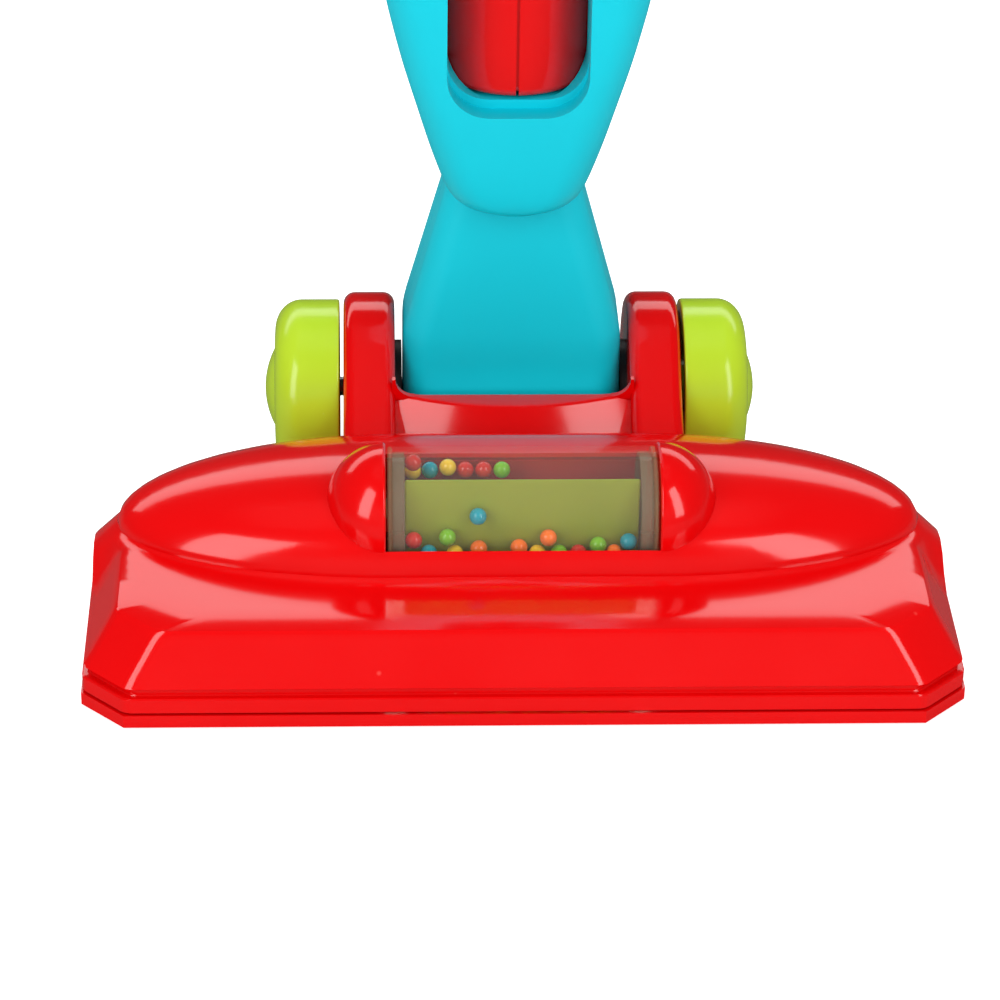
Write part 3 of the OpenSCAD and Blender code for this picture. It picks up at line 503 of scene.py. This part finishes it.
def makeHeadSkin():
    rings = [list(ring) for ring in zip(*headColumns())]
    bm = bmesh.new()
    first = loftRings(bm, rings[1:], capped=False)
    pole = bm.verts.new(rings[0][0])
    for a, b in zip(first, first[1:] + first[:1]):
        bm.faces.new((pole, a, b))
    bmesh.ops.recalc_face_normals(bm, faces=bm.faces)
    planes = [(at(x, 0, 0), (1, 0, 0)) for x in (head["windowHalf"], -head["windowHalf"])]
    planes += [(at(0, d, 0), (0, 1, 0)) for d in (head["windowFront"], head["windowBack"])]
    for point, normal in planes:  # the window's four sides
        faces = [f for f in bm.faces if nearWindow(f)]
        geom = set(faces)
        for f in faces:
            geom.update(f.edges)
            geom.update(f.verts)
        bmesh.ops.bisect_plane(bm, geom=list(geom), dist=cutSlack, plane_co=point, plane_no=normal)
    bmesh.ops.delete(bm, geom=[f for f in bm.faces if overWindow(f)], context="FACES")
    return bm


skinPiece = makePiece("headShell", makeHeadSkin(), "head", redAbs, ["head_shell"])
thick = skinPiece.modifiers.new("wall", "SOLIDIFY")
thick.thickness = head["wall"] * mm
thick.offset = -1
print("head skin made")

# Drum bay: half-round bosses that hold the drum, and the bay's back wall

bay = {  # millimetres, but bossStart, wallFrom and wallTo are degrees
    "bossX": 40.55, "bossR": 19.9, "bossL": 18.2, "bossEdge": 0.9, "bossStart": 9, "boreR": 3.3, "boreL": 6.2,
    "wallIn": 19.4, "wallOut": 21.4, "wallHalfW": 40.5, "wallFrom": -52, "wallTo": 17}


def makeBoss(side):  # half-round boss with a bore for the drum's pin
    start, r, bore = bay["bossX"], bay["bossR"], bay["boreR"]
    count = 18
    arc = []
    for k in range(count + 1):
        a = math.radians(bay["bossStart"] + (90 - bay["bossStart"]) * k / count)
        arc.append((start + bay["bossL"] * math.sin(a), r * math.cos(a)))
    rim = roundCorners([(start, bore), (start, r), arc[0]], bay["bossEdge"], 4)
    profile = [(start + bay["boreL"], 0.0), (start + bay["boreL"], bore)] + rim + arc[1:]
    bm = bmesh.new()
    turnedX(bm, [(side * x, q) for x, q in profile], drumAxis, steps=72)
    return bm


def makeBayWall():
    bm = bmesh.new()
    a = math.radians(bay["wallFrom"])
    half = bay["wallHalfW"]
    places = [(-half, bay["wallIn"]), (half, bay["wallIn"]), (half, bay["wallOut"]), (-half, bay["wallOut"])]
    corners = [at(x, drumAxis[0] + r * math.cos(a), drumAxis[1] + r * math.sin(a)) for x, r in places]
    face = bm.faces.new([bm.verts.new(p) for p in corners])
    bmesh.ops.spin(
        bm, geom=[face] + face.edges[:] + face.verts[:], cent=at(0, *drumAxis), axis=(1, 0, 0),
        angle=math.radians(bay["wallTo"] - bay["wallFrom"]), steps=40, use_duplicate=False)
    return bm


bayBm = bmesh.new()
for side in (-1, 1):
    joinInto(bayBm, makeBoss(side))
joinInto(bayBm, makeBayWall())
makePiece("drumBay", bayBm, "head", redAbs, ["head_shell"])
print("drum bay made")

# Yoke behind the dome: two round ears and the bowed wall between them

yoke = {
    "earIn": 37.0, "earOut": 53.3, "earR": 30.3, "earFoot": (106.35, 30.2), "edge": 3.6, "low": 5.2,
    "wallFront": 124.0, "wallBack": 131.2, "wallTop": 40.0, "wallFoot": (115.4, 29.0), "wallLeast": 3.0,
    "wallRound": 1.9, "wallTuck": 2.0, "bow": 8.0, "bowLead": 1.5,
    "fillet": 6.0, "filletTuck": 1.0, "filletShare": 0.75, "filletBack": 0.6}


def earOutline():
    (ad, az), r = axle, yoke["earR"]
    run = Vector((ad - yoke["wallFront"], az - yoke["wallTop"]))
    start = math.pi / 2 + math.atan2(run.y, run.x) + math.asin(r / run.length)
    stop = -math.asin((az - yoke["low"]) / r)
    outline = [(yoke["earFoot"][0], yoke["low"]), yoke["earFoot"], (yoke["wallFront"], yoke["wallTop"])]
    count = 40
    for k in range(count + 1):
        a = start + (stop - start) * k / count
        outline.append((ad + r * math.cos(a), az + r * math.sin(a)))
    return outline


def insetOutline(outline, inset):  # the same closed outline drawn in by a constant width
    sharpest = 0.3  # limits the reach at a sharp corner
    points = [Vector(p) for p in outline]
    area = sum(p.x * q.y - q.x * p.y for p, q in zip(points, points[1:] + points[:1]))
    turn = 1 if area > 0 else -1
    out = []
    for a, b, c in zip(points[-1:] + points[:-1], points, points[1:] + points[:1]):
        u, v = (b - a).normalized(), (c - b).normalized()
        n = (Vector((-u.y, u.x)) + Vector((-v.y, v.x))).normalized() * turn
        out.append(b + n * inset / max(abs(n.dot(Vector((-u.y, u.x)))), sharpest))
    return out


def slabX(bm, outline, x0, x1, edge, steps=6):  # a (depth, height) outline made solid across X, edges rounded
    stations = []
    for k in range(steps + 1):
        a = math.pi / 2 * k / steps
        stations.append((edge * (1 - math.cos(a)), insetOutline(outline, edge * (1 - math.sin(a)))))
    rings = [[at(x0 + run, d, z) for d, z in points] for run, points in stations]
    rings += [[at(x1 - run, d, z) for d, z in points] for run, points in reversed(stations)]
    loftRings(bm, rings)


def makeFillet(side):  # rounds the corner between the wall's top and an ear
    r, tuck, z = yoke["fillet"], yoke["filletTuck"], yoke["wallTop"]
    outer = yoke["earIn"] + tuck
    inner = yoke["earIn"] - r
    outline = [(outer, z - tuck), (inner, z - tuck), (inner, z)]
    count = 8
    for k in range(count + 1):
        a = math.radians(90 * k / count - 90)
        outline.append((inner + r * math.cos(a), z + r + r * math.sin(a)))
    outline.append((outer, z + r))
    front = yoke["wallFront"] - yoke["bowLead"] + yoke["bow"] * yoke["filletShare"]
    back = yoke["wallBack"] - yoke["filletBack"]
    bm = bmesh.new()
    pushedOut(bm, [at(side * px, front, pz) for px, pz in outline], (0, (back - front) * mm, 0))
    return bm


def wallRing(x):  # the wall's section at x: its front bows forward in the middle
    bow = yoke["bow"] * (x / yoke["earIn"]) ** 2 - yoke["bowLead"]
    foot, front = yoke["wallFoot"][0] + bow, yoke["wallFront"] + bow
    back = max(yoke["wallBack"], front + yoke["wallLeast"])
    low, top = yoke["low"], yoke["wallTop"]
    wall = [(foot, low), (foot, yoke["wallFoot"][1]), (front, top), (back, top), (back, low)]
    return [at(x, d, z) for d, z in roundCorners(wall, yoke["wallRound"], 5)]


def makeYoke():
    whole = bmesh.new()
    for side in (-1, 1):
        bm = bmesh.new()
        slabX(bm, earOutline(), *sorted((side * yoke["earIn"], side * yoke["earOut"])), yoke["edge"])
        joinInto(whole, bm)
        joinInto(whole, makeFillet(side))
    bm = bmesh.new()
    end, half = yoke["earIn"] + yoke["wallTuck"], 16
    loftRings(bm, [wallRing(end * (k / half - 1)) for k in range(2 * half + 1)])
    joinInto(whole, bm)
    return whole


makePiece("headYoke", makeYoke(), "head", redAbs, ["head_shell"])
print("yoke made")

# Wheels and hub caps

wheel = {
    "inner": 54.6, "outer": 72.8, "r": 28.0, "rise": 2.4, "shoulderW": 8.5, "shoulderR": 9.5,
    "boreR": 3.05, "hubIn": 1.2, "hubR": 6.0, "hubEdgeR": 7.5, "hubFlatR": 8.0, "hollow": 4.0, "hollowR": 9.0,
    "treadT": 4.0, "treadFootT": 5.0, "treadRun": 2.0, "treadRound": 0.8,
    "seatGap": 0.6, "seatIn": 1.0, "seatFit": 0.05, "seatRound": 0.5, "seatDepth": 1.7}
cap = {"r": 16.5, "rim": 1.7, "dome": 4.0, "edge": 2.4, "sunk": 1.6, "fit": 0.05, "round": 0.9}


def wheelProfile(side):
    x0, x1, r = wheel["inner"], wheel["outer"], wheel["r"]
    hubX, hollowX, bore = x0 + wheel["hubIn"], x0 + wheel["hollow"], wheel["boreR"]
    points = [(hubX, bore), (hubX, wheel["hubR"]), (x0, wheel["hubEdgeR"]), (x0, wheel["hubFlatR"])]
    points += [(hollowX, wheel["hollowR"]), (hollowX, r - wheel["treadFootT"])]
    tread = [(x0, r - wheel["treadT"]), (x0, r), (x0 + wheel["treadRun"], r)]
    points += roundCorners(tread, wheel["treadRound"], 3)
    face, count = x1 + wheel["rise"], 14
    for k in range(count + 1):
        a = math.radians(90 * k / count)
        across, up = wheel["shoulderW"] * (1 - math.sin(a)), wheel["shoulderR"] * (1 - math.cos(a))
        points.append((face - across, r - up))
    capR, seatX = cap["r"], x1 - wheel["seatDepth"]
    seat = [points[-1], (face, capR + wheel["seatGap"]), (x1 - wheel["seatIn"], capR + wheel["seatFit"])]
    points += roundCorners(seat, wheel["seatRound"], 3)[1:]
    points += [(seatX, capR), (seatX, bore), (hubX, bore)]
    return [(side * x, q) for x, q in points]


def capProfile(side):
    back, rimX = wheel["outer"] - cap["sunk"], wheel["outer"] + cap["rim"]
    r, domeR = cap["r"] - cap["fit"], cap["r"] - cap["edge"]
    ball = (domeR ** 2 + cap["dome"] ** 2) / (2 * cap["dome"])
    points = roundCorners([(back, 0.0), (back, r), (rimX, r), (rimX, domeR)], cap["round"], 4)
    count = 12
    for k in range(1, count + 1):
        q = domeR * (1 - k / count)
        points.append((rimX + math.sqrt(ball ** 2 - q * q) - ball + cap["dome"], q))
    return [(side * x, q) for x, q in points]


for side, word in ((-1, "Left"), (1, "Right")):
    bm = bmesh.new()
    turnedX(bm, wheelProfile(side), axle)
    makePiece("wheel" + word, bm, "wheel_set", limeAbs, ["wheel_" + word.lower()])
    bm = bmesh.new()
    turnedX(bm, capProfile(side), axle)
    makePiece("hubCap" + word, bm, "wheel_set", limeAbs, ["hub_cap_" + word.lower()])
print("wheels made")

# Neck

neck = {
    "halfW": 34.5, "topHalfW": 15.0, "halfDepth": 19.0, "topHalfDepth": 15.0, "taper": 54.0, "top": 126.0,
    "barrelR": 22.0, "barrelAngles": (-86, -78, -68, -56, -44, -32, -20, -8), "blend": 3.0, "least": 0.1,
    "heights": [30, 34, 38, 42, 46, 50, 53, 55, 58, 64, 72, 82, 94, 108], "edge": 9.0, "edgeShare": 0.8,
    "bend": 4.0, "bendIn": 0.27, "footBelow": 10.0, "footIn": 6.0, "footR": 12.5}
screws = {
    "seat": 164.0, "wellR": 3.1, "wellL": 60.0, "neck": [(0, 62.6), (0, 92.4)],
    "body": [(-31.4, 172), (31.4, 172), (-31.4, 250), (31.4, 250)]}


def neckRings():
    rings = []
    depthMid, az = axle
    heights = [az + neck["barrelR"] * math.sin(math.radians(a)) for a in neck["barrelAngles"]]
    for z in heights + neck["heights"] + [neck["top"]]:
        t = max(z - neck["taper"], 0) / (neck["top"] - neck["taper"])
        barrel = math.sqrt(max(neck["barrelR"] ** 2 - (z - az) ** 2, neck["least"]))
        column = neck["halfDepth"] + (neck["topHalfDepth"] - neck["halfDepth"]) * t if z > az else 0
        depth = smoothMax(barrel, column, neck["blend"])
        half = neck["halfW"] + (neck["topHalfW"] - neck["halfW"]) * t
        near = max(neck["bend"] - abs(z - neck["taper"]), 0)  # softens the bend where the taper starts
        half -= near ** 2 / neck["bend"] ** 2 * neck["bendIn"]
        below = az - neck["footBelow"] - z
        if below > 0:
            half -= neck["footIn"] * (1 - math.sqrt(max(1 - (below / neck["footR"]) ** 2, 0)))
        edge = min(neck["edge"], depth * neck["edgeShare"])
        rings.append(roundedRect(z, 2 * half, depthMid - depth, depthMid + depth, edge))
    return rings


def plainObject(name, bm):  # for cutting, taken away once used
    bmesh.ops.recalc_face_normals(bm, faces=bm.faces)
    mesh = bpy.data.meshes.new(name)
    bm.to_mesh(mesh)
    bm.free()
    thing = bpy.data.objects.new(name, mesh)
    bpy.context.scene.collection.objects.link(thing)
    return thing


def cutAway(bm, cutters):  # the solid less each cutter
    solid = plainObject("solid", bm)
    tools = [plainObject("cutter", cutter) for cutter in cutters]
    for tool in tools:
        cut = solid.modifiers.new("cut", "BOOLEAN")
        cut.operation = "DIFFERENCE"
        cut.solver = "EXACT"
        cut.object = tool
    whole = bpy.data.meshes.new_from_object(solid.evaluated_get(bpy.context.evaluated_depsgraph_get()))
    for thing in [solid] + tools:
        mesh = thing.data
        bpy.data.objects.remove(thing)
        bpy.data.meshes.remove(mesh)
    return whole


def splitHalves(whole, names, nodes):  # teal shells parted through the axle
    for name, node, side in zip(names, nodes, (-1, 1)):  # the front half, then the rear one
        bm = bmesh.new()
        bm.from_mesh(whole)
        bmesh.ops.bisect_plane(
            bm, geom=bm.verts[:] + bm.edges[:] + bm.faces[:], dist=shellSlack,
            plane_co=at(0, axle[0] + side * seam / 2, 0), plane_no=(0, -side, 0), clear_outer=True)
        rim = [e for e in bm.edges if e.is_boundary]
        bmesh.ops.triangle_fill(bm, edges=rim, use_beauty=True, use_dissolve=True)
        evenShading(makePiece(name, bm, "upright", tealPolypropylene, [node], sharpAngle=38))
    bpy.data.meshes.remove(whole)


def wellsBehind(places):  # screw wells from the rear
    bm = bmesh.new()
    r, length = screws["wellR"] * mm, screws["wellL"]
    laid = Matrix.Rotation(math.pi / 2, 4, "X")
    for x, z in places:
        middle = Matrix.Translation(at(x, screws["seat"] + length / 2, z))
        bmesh.ops.create_cone(
            bm, cap_ends=True, segments=32, radius1=r, radius2=r, depth=length * mm, matrix=middle @ laid)
    return bm


bm = bmesh.new()
loftRings(bm, neckRings())
cutters = [wellsBehind(screws["neck"])]
splitHalves(cutAway(bm, cutters), ("neckFront", "neckRear"), ("neck_front", "neck_rear"))
print("neck made")

# Body with the canister's pocket and its front slot

shell = {
    "front": 33.0, "back": 27.0, "slotHalf": 21.5, "slotCorner": 13.0, "slotStart": 90.0, "rim": 136.5,
    "pocketR": 24.3, "pocketLow": 139.4, "domeZ": 244.0, "canisterR": 24.0,
    "sections": [  # height, width, front and back insets, corner
        (101.0, 24, 7, 6, 12), (102.2, 31, 5.8, 4.8, 12), (104.0, 36.6, 4.7, 3.7, 12),
        (106.5, 40.8, 3.9, 2.9, 12), (110, 44.2, 3.3, 2.3, 12), (116, 48.6, 2.7, 1.8, 12),
        (124, 54, 2.2, 1.3, 12), (136.5, 61.5, 1.5, 0.75, 12), (150, 69.5, 1.1, 0.4, 12),
        (160, 74.6, 0.8, 0.2, 12), (172, 80, 0.5, 0, 12), (182, 83.2, 0.3, 0, 12),
        (192, 85.6, 0.1, 0, 12), (205, 87, 0, 0, 12), (220, 86.6, 0.2, 0, 12),
        (235, 85, 0.7, 0, 12), (250, 82, 1.5, 0, 12), (262, 77.6, 2.1, 0.6, 12),
        (276, 70.5, 2.9, 1.5, 12), (290, 62, 4, 3, 12), (298, 55.6, 5, 5.6, 13),
        (306, 49, 6.2, 9, 14.5), (313, 42.6, 7.2, 12, 16.5), (318, 39.2, 7.8, 13.6, 18.2),
        (321, 38, 8, 14, 18.6), (328.4, 38, 8, 14, 18.6), (329.5, 37.2, 8.4, 14.4, 18.2),
        (330, 35.4, 9.3, 15.3, 17.3)]}


def rowSlope(rows, k, j):  # slope of column j at row k, level at a peak and at the ends
    if k == 0 or k == len(rows) - 1:
        return 0
    a, b = [(q[j] - p[j]) / (q[0] - p[0]) for p, q in ((rows[k - 1], rows[k]), (rows[k], rows[k + 1]))]
    return 2 * a * b / (a + b) if a * b > 0 else 0


def smoothRows(rows, steps=3):  # more sections on a smooth curve through those given
    out = []
    for k, (p, q) in enumerate(zip(rows, rows[1:])):
        h = q[0] - p[0]
        for i in range(steps):
            t = i / steps
            row = [p[0] + h * t]
            for j in range(1, len(p)):
                ends = (2 * t ** 3 - 3 * t ** 2 + 1) * p[j] + (3 * t ** 2 - 2 * t ** 3) * q[j]
                start, stop = rowSlope(rows, k, j), rowSlope(rows, k + 1, j)
                row.append(ends + h * ((t ** 3 - 2 * t ** 2 + t) * start + (t ** 3 - t ** 2) * stop))
            out.append(row)
    return out + [rows[-1]]


def slotBlock(low, depth):  # the round-topped front slot as a block
    w, r, start = shell["slotHalf"], shell["slotCorner"], shell["slotStart"]
    left = []
    quarter = 8
    for k in range(quarter, -1, -1):
        a = math.pi * k / (2 * quarter)
        left.append((-w + r - r * math.sin(a), low + r - r * math.cos(a)))
    outline = left + [(-x, z) for x, z in reversed(left)]
    count = 32
    for k in range(count + 1):
        a = math.pi * k / count
        outline.append((w * math.cos(a), shell["domeZ"] + w * math.sin(a)))
    bm = bmesh.new()
    pushedOut(bm, [at(x, start, z) for x, z in outline], (0, (depth - start) * mm, 0))
    return bm


def canisterPocket():
    r = shell["pocketR"]
    profile = [(0, shell["pocketLow"]), (r, shell["pocketLow"])]
    for degrees in range(0, 91, 6):
        a = math.radians(degrees)
        profile.append((r * math.cos(a), shell["domeZ"] + r * math.sin(a)))
    bm = bmesh.new()
    turnedZ(bm, profile, axle[0])
    return bm


bm = bmesh.new()
loftRings(bm, [
    roundedRect(z, w, axle[0] - shell["front"] + front, axle[0] + shell["back"] - back, r)
    for z, w, front, back, r in smoothRows(shell["sections"])])
cutters = [
    slotBlock(shell["rim"], axle[0] - shell["canisterR"]), slotBlock(shell["pocketLow"], axle[0]),
    canisterPocket(), wellsBehind(screws["body"])]
splitHalves(cutAway(bm, cutters), ("bodyFront", "bodyRear"), ("body_front", "body_rear"))
print("body made")

# Bead drum

drum = {
    "r": 18.5, "inR": 17.0, "half": 38.5, "flange": 40.0, "spigot": 34.9, "fit": 0.1, "chamfer": 0.4,
    "pinR": 3.0, "pinEnd": 46.0, "pinChamfer": 0.5, "coreR": 16.3, "coreFirst": 119.0, "coreEdge": 0.7,
    "beadR": 2.55, "beadGap": 0.1, "panelLean": 1.0}


def tubeProfile():
    half, r, inR = drum["half"], drum["r"], drum["inR"]
    return [(-half, inR), (-half, r), (half, r), (half, inR), (-half, inR)]


def plugProfile(side):  # spigot inside the tube, flange and pin
    half, flange, r, c = drum["half"], drum["flange"], drum["r"], drum["chamfer"]
    spigotR, pinR, pinEnd, pinC = drum["inR"] - drum["fit"], drum["pinR"], drum["pinEnd"], drum["pinChamfer"]
    points = [(drum["spigot"], 0), (drum["spigot"], spigotR), (half, spigotR), (half, r - c), (half + c, r)]
    points += [(flange - c, r), (flange, r - c), (flange, pinR)]
    points += [(pinEnd - pinC, pinR), (pinEnd, pinR - pinC), (pinEnd, 0)]
    return [(side * x, q) for x, q in points]


def makeCore():  # three-sided prism with softened edges
    corners = [math.radians(drum["coreFirst"] - 120 * k) for k in range(3)]
    r, end = drum["coreR"], drum["spigot"]
    bm = bmesh.new()
    pushedOut(
        bm, [at(-end, drumAxis[0] + r * math.cos(a), drumAxis[1] + r * math.sin(a)) for a in corners],
        (2 * end * mm, 0, 0))
    bmesh.ops.recalc_face_normals(bm, faces=bm.faces)
    bmesh.ops.bevel(
        bm, geom=bm.edges[:], offset=drum["coreEdge"] * mm, offset_type="OFFSET", affect="EDGES", segments=3,
        profile=0.5, material=-1)
    return bm


# each bead: panel of the core, then shares of the way along, up the panel and off it
beadShares = {
    "red": [
        (0, -1, -0.52, 0), (1, -1, -0.3, 1.1), (1, -0.51, -1, 0.3), (1, -0.34, -1, 0.3), (0, 0.52, -1, 0)],
    "yellow": [(1, -1, -1, 0.2), (1, -0.675, -0.9, 0.6), (0, -0.62, -1, 0), (0, 0.14, -1, 0)],
    "blue": [(1, -0.84, -1, 0.3), (0, -0.41, 0.33, 0), (0, -0.86, -1, 0.1), (0, 0.98, -0.6, 0)],
    "green": [(1, -0.17, -1, 0.3), (0, -0.69, -0.42, 0), (0, 0.7, -0.72, 0), (0, 0.34, -1, 0)],
    "orange": [(0, -0.4, -0.83, 0), (0, -0.03, -0.79, 0), (0, 0.24, -0.45, 0), (0, 0.85, -1, 0)]}


def beadPlace(panel, across, up, off):
    spare = drum["beadR"] + drum["beadGap"]
    lean = math.radians(drum["panelLean"] + 120 * panel)
    climb = lean + math.radians(90 if panel == 0 else -90)
    n = drum["coreR"] / 2 + spare + off * drum["beadR"]
    t = up * math.sqrt((drum["inR"] - spare) ** 2 - n * n)
    depth = drumAxis[0] - n * math.cos(lean) - t * math.cos(climb)
    z = drumAxis[1] + n * math.sin(lean) + t * math.sin(climb)
    return at(across * (drum["spigot"] - spare), depth, z)


bm = bmesh.new()
turnedX(bm, tubeProfile(), drumAxis)
makePiece("drumTube", bm, "drum", clearTube, ["drum_tube"])
for side, word in ((-1, "Left"), (1, "Right")):
    bm = bmesh.new()
    turnedX(bm, plugProfile(side), drumAxis)
    makePiece("drumEnd" + word, bm, "drum", clearPlug, ["drum_end_" + word.lower()])
# the core's darker olive colour is painted shade of the drum bay
makePiece("drumCore", makeCore(), "drum", shadedLimeCore, ["drum_core"])
for tint, shares in beadShares.items():
    bm = bmesh.new()
    for share in shares:
        bmesh.ops.create_uvsphere(
            bm, u_segments=32, v_segments=20, radius=drum["beadR"] * mm,
            matrix=Matrix.Translation(beadPlace(*share)))
    makePiece(tint + "Beads", bm, "drum", beadFinish[tint], ["beads_" + tint])
print("drum made")

# Other pieces keep the frame's own surface, merged and shaded smooth

kept = [  # piece, node, body, material and slot
    ("basePlate", "base_plate", "head", redAbs, "red"),
    ("baseScrews", "base_screws", "head", zincSteel, "steel"),
    ("washerLeft", "pivot_washer_left", "head", blackAcetal, "black"),
    ("washerRight", "pivot_washer_right", "head", blackAcetal, "black"),
    ("rollerShaft", "roller_shaft", "roller", zincSteel, "steel"),
    ("rollerCore", "roller_core", "roller", blackAcetal, "black"),
    ("rollerTyres", "roller_tyres", "roller", blackRubber, "rubber"),
    ("axleRod", "axle", "wheel_set", zincSteel, "steel"),
    ("neckScrews", "neck_screws", "upright", zincSteel, "steel"),
    ("bodyScrews", "body_screws", "upright", zincSteel, "steel"),
    ("canisterLeft", "canister_left", "upright", redAbs, "red"),
    ("canisterRight", "canister_right", "upright", redAbs, "red"),
    ("handleLeft", "handle_left", "upright", tealPolypropylene, "teal"),
    ("handleRight", "handle_right", "upright", tealPolypropylene, "teal"),
    ("gripSleeve", "grip_sleeve", "upright", limeGrip, "grip"),
    ("handleScrews", "handle_screws", "upright", zincSteel, "steel")]
for name, node, bodyName, material, slotName in kept:
    bm = bmesh.new()
    bm.from_mesh(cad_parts[node].data)
    evenShading(makePiece(name, bm, bodyName, material, [node], sharpAngle=28, recalc=False))
print("kept pieces shaded")

# Camera, floor and light

view = {
    "azimuth": -2.2, "elevation": 30.0, "distance": 1220.0, "target": (-5.5, 80.0, 30.5), "roll": 0.85,
    "lens": 144.0, "sensor": 36.0, "clip": (0.05, 20.0)}
turn, lift = math.radians(view["azimuth"]), math.radians(view["elevation"])
back = Vector((math.sin(turn) * math.cos(lift), -math.cos(turn) * math.cos(lift), math.sin(lift)))
camera = bpy.data.objects.new("camera", bpy.data.cameras.new("camera"))
camera.data.sensor_width = view["sensor"]
camera.data.lens = view["lens"]
camera.data.clip_start, camera.data.clip_end = view["clip"]
facing = (-back).to_track_quat("-Z", "Y").to_matrix() @ Matrix.Rotation(math.radians(view["roll"]), 3, "Z")
camera.matrix_world = Matrix.Translation(at(*view["target"]) + back * view["distance"] * mm) @ facing.to_4x4()
bpy.context.scene.collection.objects.link(camera)
bpy.context.scene.camera = camera

floorLook = {"paper": "#f2f2f2", "mirrored": "#5a5a5a", "lift": 0.7, "size": 3.0}  # darker in reflections
floorMaterial, tree = startMaterial("white paper sweep")[:2]
seen = addNode(tree, "ShaderNodeLightPath", {})
lifted = addNode(
    tree, "ShaderNodeMath", {"operation": "MULTIPLY", 1: floorLook["lift"]},
    {0: seen.outputs["Is Camera Ray"]})
tone = addNode(
    tree, "ShaderNodeMix",
    {"data_type": "RGBA", mixA: hexColor(floorLook["paper"]), mixB: hexColor(floorLook["mirrored"])},
    {"Factor": seen.outputs["Is Glossy Ray"]})
paper = addNode(tree, "ShaderNodeBsdfDiffuse", {}, {"Color": tone.outputs[mixOut]})
glow = addNode(tree, "ShaderNodeEmission", {"Color": (1, 1, 1, 1)}, {"Strength": lifted.outputs["Value"]})
endMaterial(tree, addNode(
    tree, "ShaderNodeAddShader", {}, {0: paper.outputs["BSDF"], 1: glow.outputs["Emission"]}))
bm = bmesh.new()
bmesh.ops.create_grid(bm, x_segments=2, y_segments=2, size=floorLook["size"])
floorMesh = bpy.data.meshes.new("floor")
bm.to_mesh(floorMesh)
bm.free()
floor = bpy.data.objects.new("floor", floorMesh)
floorMesh.materials.append(floorMaterial)
bpy.context.scene.collection.objects.link(floor)

lamps = {  # places in the object's millimetres, power in watts
    "boxLeft": {
        "from": (-650, -530, 560), "to": (0, 90, 40), "size": (420, 860), "power": 4.4, "mirrored": True},
    "boxRight": {
        "from": (600, -550, 560), "to": (0, 90, 40), "size": (320, 860), "power": 3.6, "mirrored": True},
    "top": {
        "from": (0, 200, 1300), "to": (0, 100, 60), "size": (1000, 700), "power": 6.8, "mirrored": False},
    "backdrop": {
        "from": (0, 980, 650), "to": (0, 90, 60), "size": (2400, 330), "power": 4.9, "mirrored": True},
    "fill": {
        "from": (0, -1150, 420), "to": (0, 90, 120), "size": (1500, 700), "power": 4.0, "mirrored": False}}
for name, lamp in lamps.items():
    light = bpy.data.lights.new(name, "AREA")
    light.shape = "RECTANGLE"
    light.size, light.size_y = lamp["size"][0] * mm, lamp["size"][1] * mm
    light.energy = lamp["power"]
    holder = bpy.data.objects.new(name, light)
    start, end = at(*lamp["from"]), at(*lamp["to"])
    aim = (end - start).to_track_quat("-Z", "Y").to_matrix().to_4x4()
    holder.matrix_world = Matrix.Translation(start) @ aim
    holder.visible_glossy = lamp["mirrored"]
    bpy.context.scene.collection.objects.link(holder)

skyLevel = {"plain": 0.34, "mirrored": 0.05}  # and full white for the camera
world = bpy.data.worlds.new("studio")
bpy.context.scene.world = world
world.use_nodes = True
tree = world.node_tree
tree.nodes.clear()
ray = addNode(tree, "ShaderNodeLightPath", {})
level = addNode(
    tree, "ShaderNodeMapRange", {"To Min": skyLevel["plain"], "To Max": skyLevel["mirrored"]},
    {"Value": ray.outputs["Is Glossy Ray"]})
shown = addNode(
    tree, "ShaderNodeMath", {"operation": "MAXIMUM"},
    {0: level.outputs["Result"], 1: ray.outputs["Is Camera Ray"]})
sky = addNode(tree, "ShaderNodeBackground", {"Color": (1, 1, 1, 1)}, {"Strength": shown.outputs["Value"]})
addNode(tree, "ShaderNodeOutputWorld", {}, {"Surface": sky.outputs["Background"]})
bpy.context.scene.view_settings.view_transform = "Standard"
print("camera and light set")
